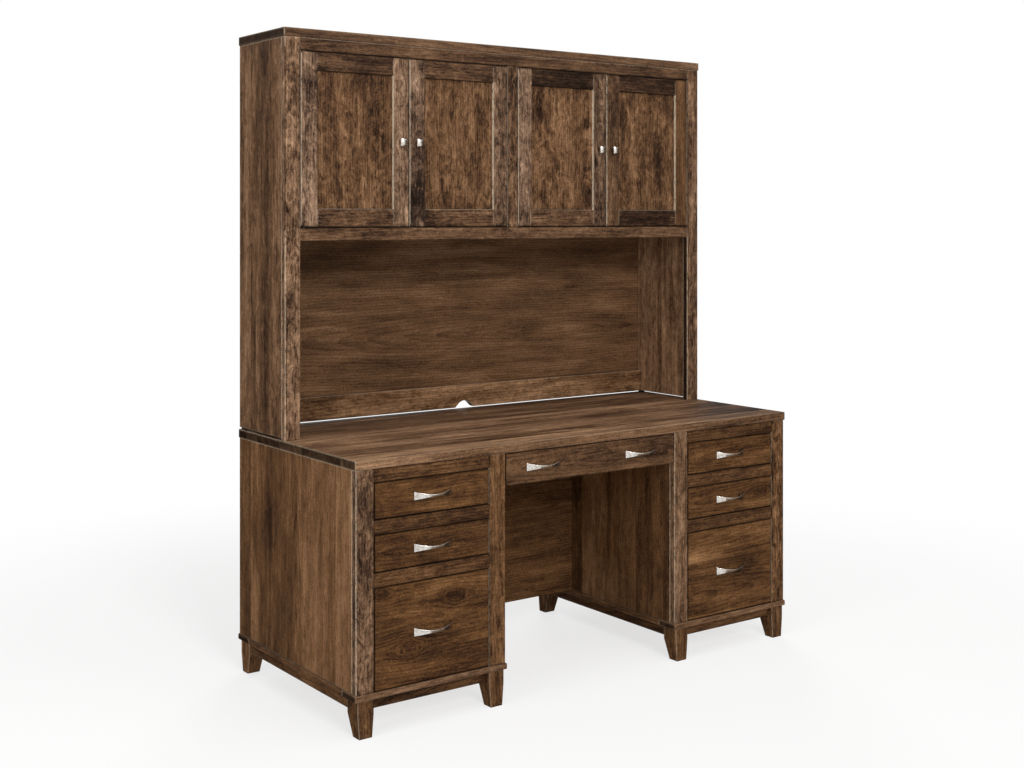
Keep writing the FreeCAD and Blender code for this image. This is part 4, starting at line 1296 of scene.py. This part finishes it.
@dataclass
class Drawer:
    """One drawer: its front, its box and its pulls.

    Attributes:
        name: The drawer's name.
        seed: The front's seed.
        pull_spots: X of each pull's middle.
        tone: The front's tone.
        warmth: How full the front's colour is.
        stave: Usual width of the front's glued staves in millimetres, or none for a whole board.
        patches: Stain patches of the front.
        knots: Knots of the front.
        side: Thickness of the box's sides.
        seat: How far behind the face the screws' heads sit.
    """

    name: str
    seed: float
    pull_spots: tuple[float, ...]
    tone: float = 0.0
    warmth: float = 1.04
    stave: float = 0.0
    patches: tuple[Patch, ...] = ()
    knots: tuple[Knot, ...] = ()
    side: float = 15 * MM
    seat: float = 35 * MM

    def build(self, spacing: float, pull: Object, screw: Object) -> None:
        """Set copies of the pull and its screws on the front.

        Args:
            spacing: Distance between a pull's screws.
            pull: The pull that is copied.
            screw: The screw that is copied.
        """
        low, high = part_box(f"{self.name}_front")
        level = (low.z + high.z) / 2
        parts = []
        for spot in self.pull_spots:
            parts.append(copy_to(pull, (spot, low.y, level)))
            for hand in (-1, 1):
                parts.append(copy_to(screw, (spot + hand * spacing / 2, low.y + self.seat, level)))
        node = f"{self.name}_pull" if len(self.pull_spots) == 1 else f"{self.name}_pulls"
        fit(parts, f"{self.name}_strap_pull", self.name, node)

    def dress(self) -> None:
        """Dress the front and the box."""
        front, box = f"{self.name}_front", f"{self.name}_box"
        face = Board(LEVEL, self.seed, self.tone, 1.0, middle_of(front, LEVEL), figure=0.8, warmth=self.warmth)
        # All of the front's edges get painted shadow, as in the reveal round a drawer.
        STAINED.dress(front, [face], self.stave, self.patches, self.knots, [ALL_OVER])
        low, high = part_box(box)
        CLEAR.dress(box, [
            Board(LEVEL, self.seed + 0.3),
            Board(Grain.DEEP_ON_SIDE, self.seed + 0.5, where=(("x", low.x - NEAR, low.x + self.side),)),
            Board(Grain.DEEP_ON_SIDE, self.seed + 0.7, where=(("x", high.x - self.side, high.x + NEAR),)),
        ])


@dataclass
class HutchCase:
    """The hutch's crown, sides, back, face frame and inner boards.

    Attributes:
        stile: Width of the face frame's outer stiles.
        door_low: Low edge of the doorways.
        door_high: High edge of the doorways.
        sides: Each side's node, seed, meeting places of its staves and their tones.
        inner_boards: Each inner board's node, grain, seed and usual width of its staves.
        rail_end_shade: Painted shade at both ends of the back rail, in the corners of the bay.
        frame_patches: Stain patches of the face frame.
    """

    stile: float = 51 * MM
    door_low: float = 1.394
    door_high: float = 1.925
    sides: tuple[tuple[str, float, tuple[float, ...], tuple[float, ...]], ...] = (
        ("hutch_left_side", 42.0, (0.08, 0.176, 0.23, 0.265, 0.3, 0.39), (0.06, -0.08, 0.04, -0.02, 0.08)),
        ("hutch_right_side", 43.0, (0.08, 0.24, 0.262, 0.39), (0.19, -0.01, 0.23)),
    )
    inner_boards: tuple[tuple[str, Grain, float, float], ...] = (
        ("hutch_deck", Grain.LEVEL_ON_TOP, 52.0, 110.0),
        ("hutch_divider", Grain.UPRIGHT_ON_SIDE, 53.0, 100.0),
        ("hutch_shelves", Grain.LEVEL_ON_TOP, 54.0, 100.0),
    )
    # Painted shade at both ends of the back rail, where the bay's sides shade it.
    rail_end_shade: tuple[Patch, ...] = (
        Patch((-0.62, 0.355, 0.83), (0.13, 0.05, 0.1), -0.1),
        Patch((0.72, 0.355, 0.83), (0.13, 0.05, 0.1), -0.12),
    )
    frame_patches: tuple[Patch, ...] = (Patch((-0.808, 0.069, 1.44), (0.04, 0.05, 0.06), -0.14),)

    def dress(self) -> None:
        """Dress every node of the hutch's case."""
        STAINED.dress("hutch_top", [Board(Grain.LEVEL_ON_TOP, 41.0, 0.06, warmth=0.88)], 110.0)
        for node, seed, edges, tones in self.sides:
            side = Board(Grain.UPRIGHT_ON_SIDE, seed, 0.02, 1.9, figure=1.1, warmth=0.92)
            STAINED.dress(node, staves(side, edges, tones))
        back = Board(LEVEL, 44.0, 0.03, 0.4, (0.275, 1.02), figure=0.7, warmth=0.94)
        STAINED.dress("hutch_back", [back])
        rail = Board(LEVEL, 45.0, 0.18, 1.8, (0.3, 0.72), warmth=0.96)
        STAINED.dress("hutch_back_rail", [rail], patches=self.rail_end_shade)
        self.dress_frame("hutch_face_frame", 46.0)
        for node, grain, seed, stave in self.inner_boards:
            STAINED.dress(node, [Board(grain, seed)], stave)
        steel = STEEL.material()
        dress("shelf_pins", steel)
        dress("hinge_frame_leaves", steel)
        dress("hutch_pads", PadRubber().material())

    def dress_frame(self, node: str, seed: float) -> None:
        """Dress the hutch's face frame: upright stiles and level rails.

        Args:
            node: The face frame.
            seed: The first board's seed.
        """
        low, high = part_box(node)
        inner = high.x - self.stile
        between = ("x", -inner, inner)
        boards = [
            Board(UPRIGHT, seed, 0.005, 3.8, figure=0.9, warmth=0.9),
            Board(UPRIGHT, seed + 1, 0.145, 3.9, where=(("x", low.x - NEAR, -inner),), figure=0.9, warmth=0.87),
            Board(UPRIGHT, seed + 2, 0.08, 3.6, where=(("x", inner, high.x + NEAR),), figure=0.6, warmth=0.88),
            Board(LEVEL, seed + 3, -0.07, 1.0, (0.2, 1.9), (between, ("z", self.door_high, high.z + NEAR)),
                  warmth=0.9),
            Board(LEVEL, seed + 4, 0.035, 1.8, (-0.3, 1.3), (between, ("z", low.z, self.door_low)), warmth=0.9),
        ]
        # Painted shadow on the edges by the doorways, and a painted highlight on the walls that face left into
        # them.
        doorway = ("z", self.door_low - GAP_RIM, self.door_high + GAP_RIM)
        wall = (doorway, ("x", -0.1, inner + MM), ("y", low.y - NEAR, low.y + HIGHLIGHT_DEPTH))
        STAINED.dress(node, boards, patches=self.frame_patches, dark_rims=[(doorway,)], pale_walls=[wall])


@dataclass
class HutchDoor:
    """One framed door: its frame, panel, knob and hinge leaves.

    Attributes:
        name: The door's name.
        seed: The first board's seed.
        hinged_left: Whether its hinges are at the left, so that its knob is at the right.
        tones: Tones of the left and right stile, the upper and lower rail and the panel.
        curls: How blotchy the left and right stile are.
        warmths: How full the left and right stile's colour is.
        frame_patches: Stain patches of the frame.
        frame_knots: Knots of the frame.
        panel_patches: Stain patches of the panel.
        panel_knots: Knots of the panel.
        member: Width of the stiles and rails.
        seat: How far behind the face the screw's head sits.
    """

    name: str
    seed: float
    hinged_left: bool
    tones: tuple[float, float, float, float, float]
    curls: tuple[float, float] = (3.5, 3.5)
    warmths: tuple[float, float] = (0.8, 0.82)
    frame_patches: tuple[Patch, ...] = ()
    frame_knots: tuple[Knot, ...] = ()
    panel_patches: tuple[Patch, ...] = ()
    panel_knots: tuple[Knot, ...] = ()
    member: float = 56 * MM
    seat: float = 20 * MM

    def build(self, knob: Object, screw: Object) -> None:
        """Set a copy of the knob and its screw on the door.

        Args:
            knob: The knob that is copied.
            screw: The screw that is copied.
        """
        low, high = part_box(f"{self.name}_frame")
        across = high.x - self.member / 2 if self.hinged_left else low.x + self.member / 2
        level = (low.z + high.z) / 2
        parts = [copy_to(knob, (across, low.y, level)), copy_to(screw, (across, low.y + self.seat, level))]
        fit(parts, f"{self.name}_square_knob", self.name, f"{self.name}_knob")

    def dress(self) -> None:
        """Dress the frame, the panel and the hinge leaves."""
        node, panel = f"{self.name}_frame", f"{self.name}_panel"
        low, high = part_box(node)
        inner, outer = low.x + self.member, high.x - self.member
        between = ("x", inner, outer)
        left, right, over, under, panel_tone = self.tones
        boards = [
            Board(UPRIGHT, self.seed, left, self.curls[0], (1.7, low.x), figure=0.6, warmth=self.warmths[0]),
            Board(UPRIGHT, self.seed + 1, right, self.curls[1], (1.6, high.x), (("x", outer, high.x + NEAR),),
                  figure=0.6, warmth=self.warmths[1]),
            Board(LEVEL, self.seed + 2, over, 1.8, (inner, high.z),
                  (between, ("z", high.z - self.member, high.z + NEAR)), warmth=0.9),
            Board(LEVEL, self.seed + 3, under, 2.4, (outer, low.z),
                  (between, ("z", low.z - NEAR, low.z + self.member)), warmth=0.9),
        ]
        # Painted shadow on the right, top and bottom edges, and a painted highlight on the walls that face left:
        # the panel recess's right wall and the door's left edge.
        gaps = [((axis, edge - GAP_RIM, edge + GAP_RIM),)
                for axis, edge in (("x", high.x), ("z", high.z), ("z", low.z))]
        walls = [(("x", outer - MM, outer + MM),),
                 (("x", low.x - NEAR, low.x + MM), ("y", low.y - NEAR, low.y + HIGHLIGHT_DEPTH))]
        STAINED.dress(node, boards, patches=self.frame_patches, knots=self.frame_knots, dark_rims=gaps,
                      pale_walls=walls)
        field = Board(UPRIGHT, self.seed + 4, panel_tone, 2.7, middle_of(panel, UPRIGHT), figure=0.75, warmth=0.95)
        STAINED.dress(panel, [field], patches=self.panel_patches, knots=self.panel_knots)
        dress(f"{self.name}_hinge_leaves", bpy.data.materials[STEEL.name])


DRAWERS = (
    Drawer("left_top_drawer", 60.0, (-0.584,), -0.07),
    Drawer("left_middle_drawer", 61.0, (-0.584,), -0.055),
    Drawer("left_file_drawer", 62.0, (-0.584,), -0.03, stave=160.0, knots=(
        Knot((-0.51, -0.353, 0.344), 0.02, LEVEL, -0.14),
        Knot((-0.755, -0.353, 0.386), 0.016, LEVEL, -0.1),
        Knot((-0.66, -0.353, 0.225), 0.022, LEVEL, 0.0),
    )),
    Drawer("centre_drawer", 63.0, (-0.192, 0.192), -0.04, 0.94, knots=(
        Knot((0.272, -0.353, 0.68), 0.018, LEVEL, -0.1),
    )),
    Drawer("right_top_drawer", 64.0, (0.584,), -0.01),
    Drawer("right_middle_drawer", 65.0, (0.584,), -0.015, knots=(
        Knot((0.722, -0.353, 0.508), 0.018, LEVEL, -0.08),
    )),
    Drawer("right_file_drawer", 66.0, (0.584,), 0.025, stave=160.0, patches=(
        Patch((0.63, -0.353, 0.3), (0.09, 0.03, 0.05), -0.1),
        Patch((0.45, -0.353, 0.31), (0.05, 0.03, 0.09), 0.06),
    )),
)
DOORS = (
    HutchDoor("left_outer_door", 70.0, True, (0.14, 0.145, -0.18, -0.105, 0.03), frame_patches=(
        Patch((-0.755, 0.069, 1.82), (0.05, 0.05, 0.07), -0.2),
        Patch((-0.75, 0.069, 1.65), (0.04, 0.05, 0.07), -0.16),
        Patch((-0.755, 0.069, 1.46), (0.05, 0.05, 0.07), 0.12),
    ), panel_patches=(
        Patch((-0.55, 0.077, 1.85), (0.06, 0.03, 0.05), -0.2),
        Patch((-0.53, 0.077, 1.7), (0.03, 0.03, 0.12), -0.14),
    )),
    HutchDoor("left_inner_door", 76.0, False, (0.02, 0.025, -0.07, -0.05, 0.025), frame_patches=(
        Patch((-0.37, 0.069, 1.47), (0.06, 0.05, 0.1), -0.26),
        Patch((-0.37, 0.069, 1.85), (0.035, 0.03, 0.05), 0.14),
    ), frame_knots=(
        Knot((-0.055, 0.069, 1.447), 0.012, UPRIGHT, -0.15),
    ), panel_patches=(
        Patch((-0.12, 0.077, 1.76), (0.022, 0.03, 0.07), -0.2),
    )),
    HutchDoor("right_inner_door", 82.0, True, (0.13, -0.045, -0.29, 0.045, 0.02), panel_patches=(
        Patch((0.21, 0.077, 1.66), (0.07, 0.03, 0.14), 0.1),
        Patch((0.325, 0.077, 1.745), (0.022, 0.03, 0.022), -0.22),
        Patch((0.105, 0.077, 1.79), (0.03, 0.03, 0.06), -0.16),
    ), panel_knots=(
        Knot((0.325, 0.077, 1.49), 0.022, UPRIGHT, -0.16),
    )),
    HutchDoor("right_outer_door", 88.0, False, (-0.025, -0.02, -0.235, -0.21, -0.005), (2.2, 1.4), (0.9, 0.98),
              panel_patches=(
        Patch((0.49, 0.077, 1.78), (0.03, 0.03, 0.09), -0.22),
        Patch((0.64, 0.077, 1.63), (0.02, 0.03, 0.12), -0.2),
        Patch((0.565, 0.077, 1.76), (0.035, 0.03, 0.1), 0.12),
        Patch((0.695, 0.077, 1.65), (0.025, 0.03, 0.15), 0.08),
    )),
)
PULL_SCREW = PanScrew(43 * MM)
KNOB_SCREW = PanScrew(28 * MM)


def main() -> None:
    """Build the hardware, dress every piece and set the stage."""
    logging.basicConfig(level=logging.INFO, format="%(name)s: %(message)s")
    Studio().build()
    NICKEL.material()
    DeskCase().dress()
    Feet().dress()
    HutchCase().dress()
    strap = StrapPull()
    patterns = [maker.build() for maker in (strap, PULL_SCREW, SquareKnob(), KNOB_SCREW)]
    pull, pull_screw, knob, knob_screw = patterns
    for drawer in DRAWERS:
        drawer.build(strap.spacing, pull, pull_screw)
        drawer.dress()
    for door in DOORS:
        door.build(knob, knob_screw)
        door.dress()
    for pattern in patterns:
        bpy.data.objects.remove(pattern)


if __name__ == "__main__":
    main()
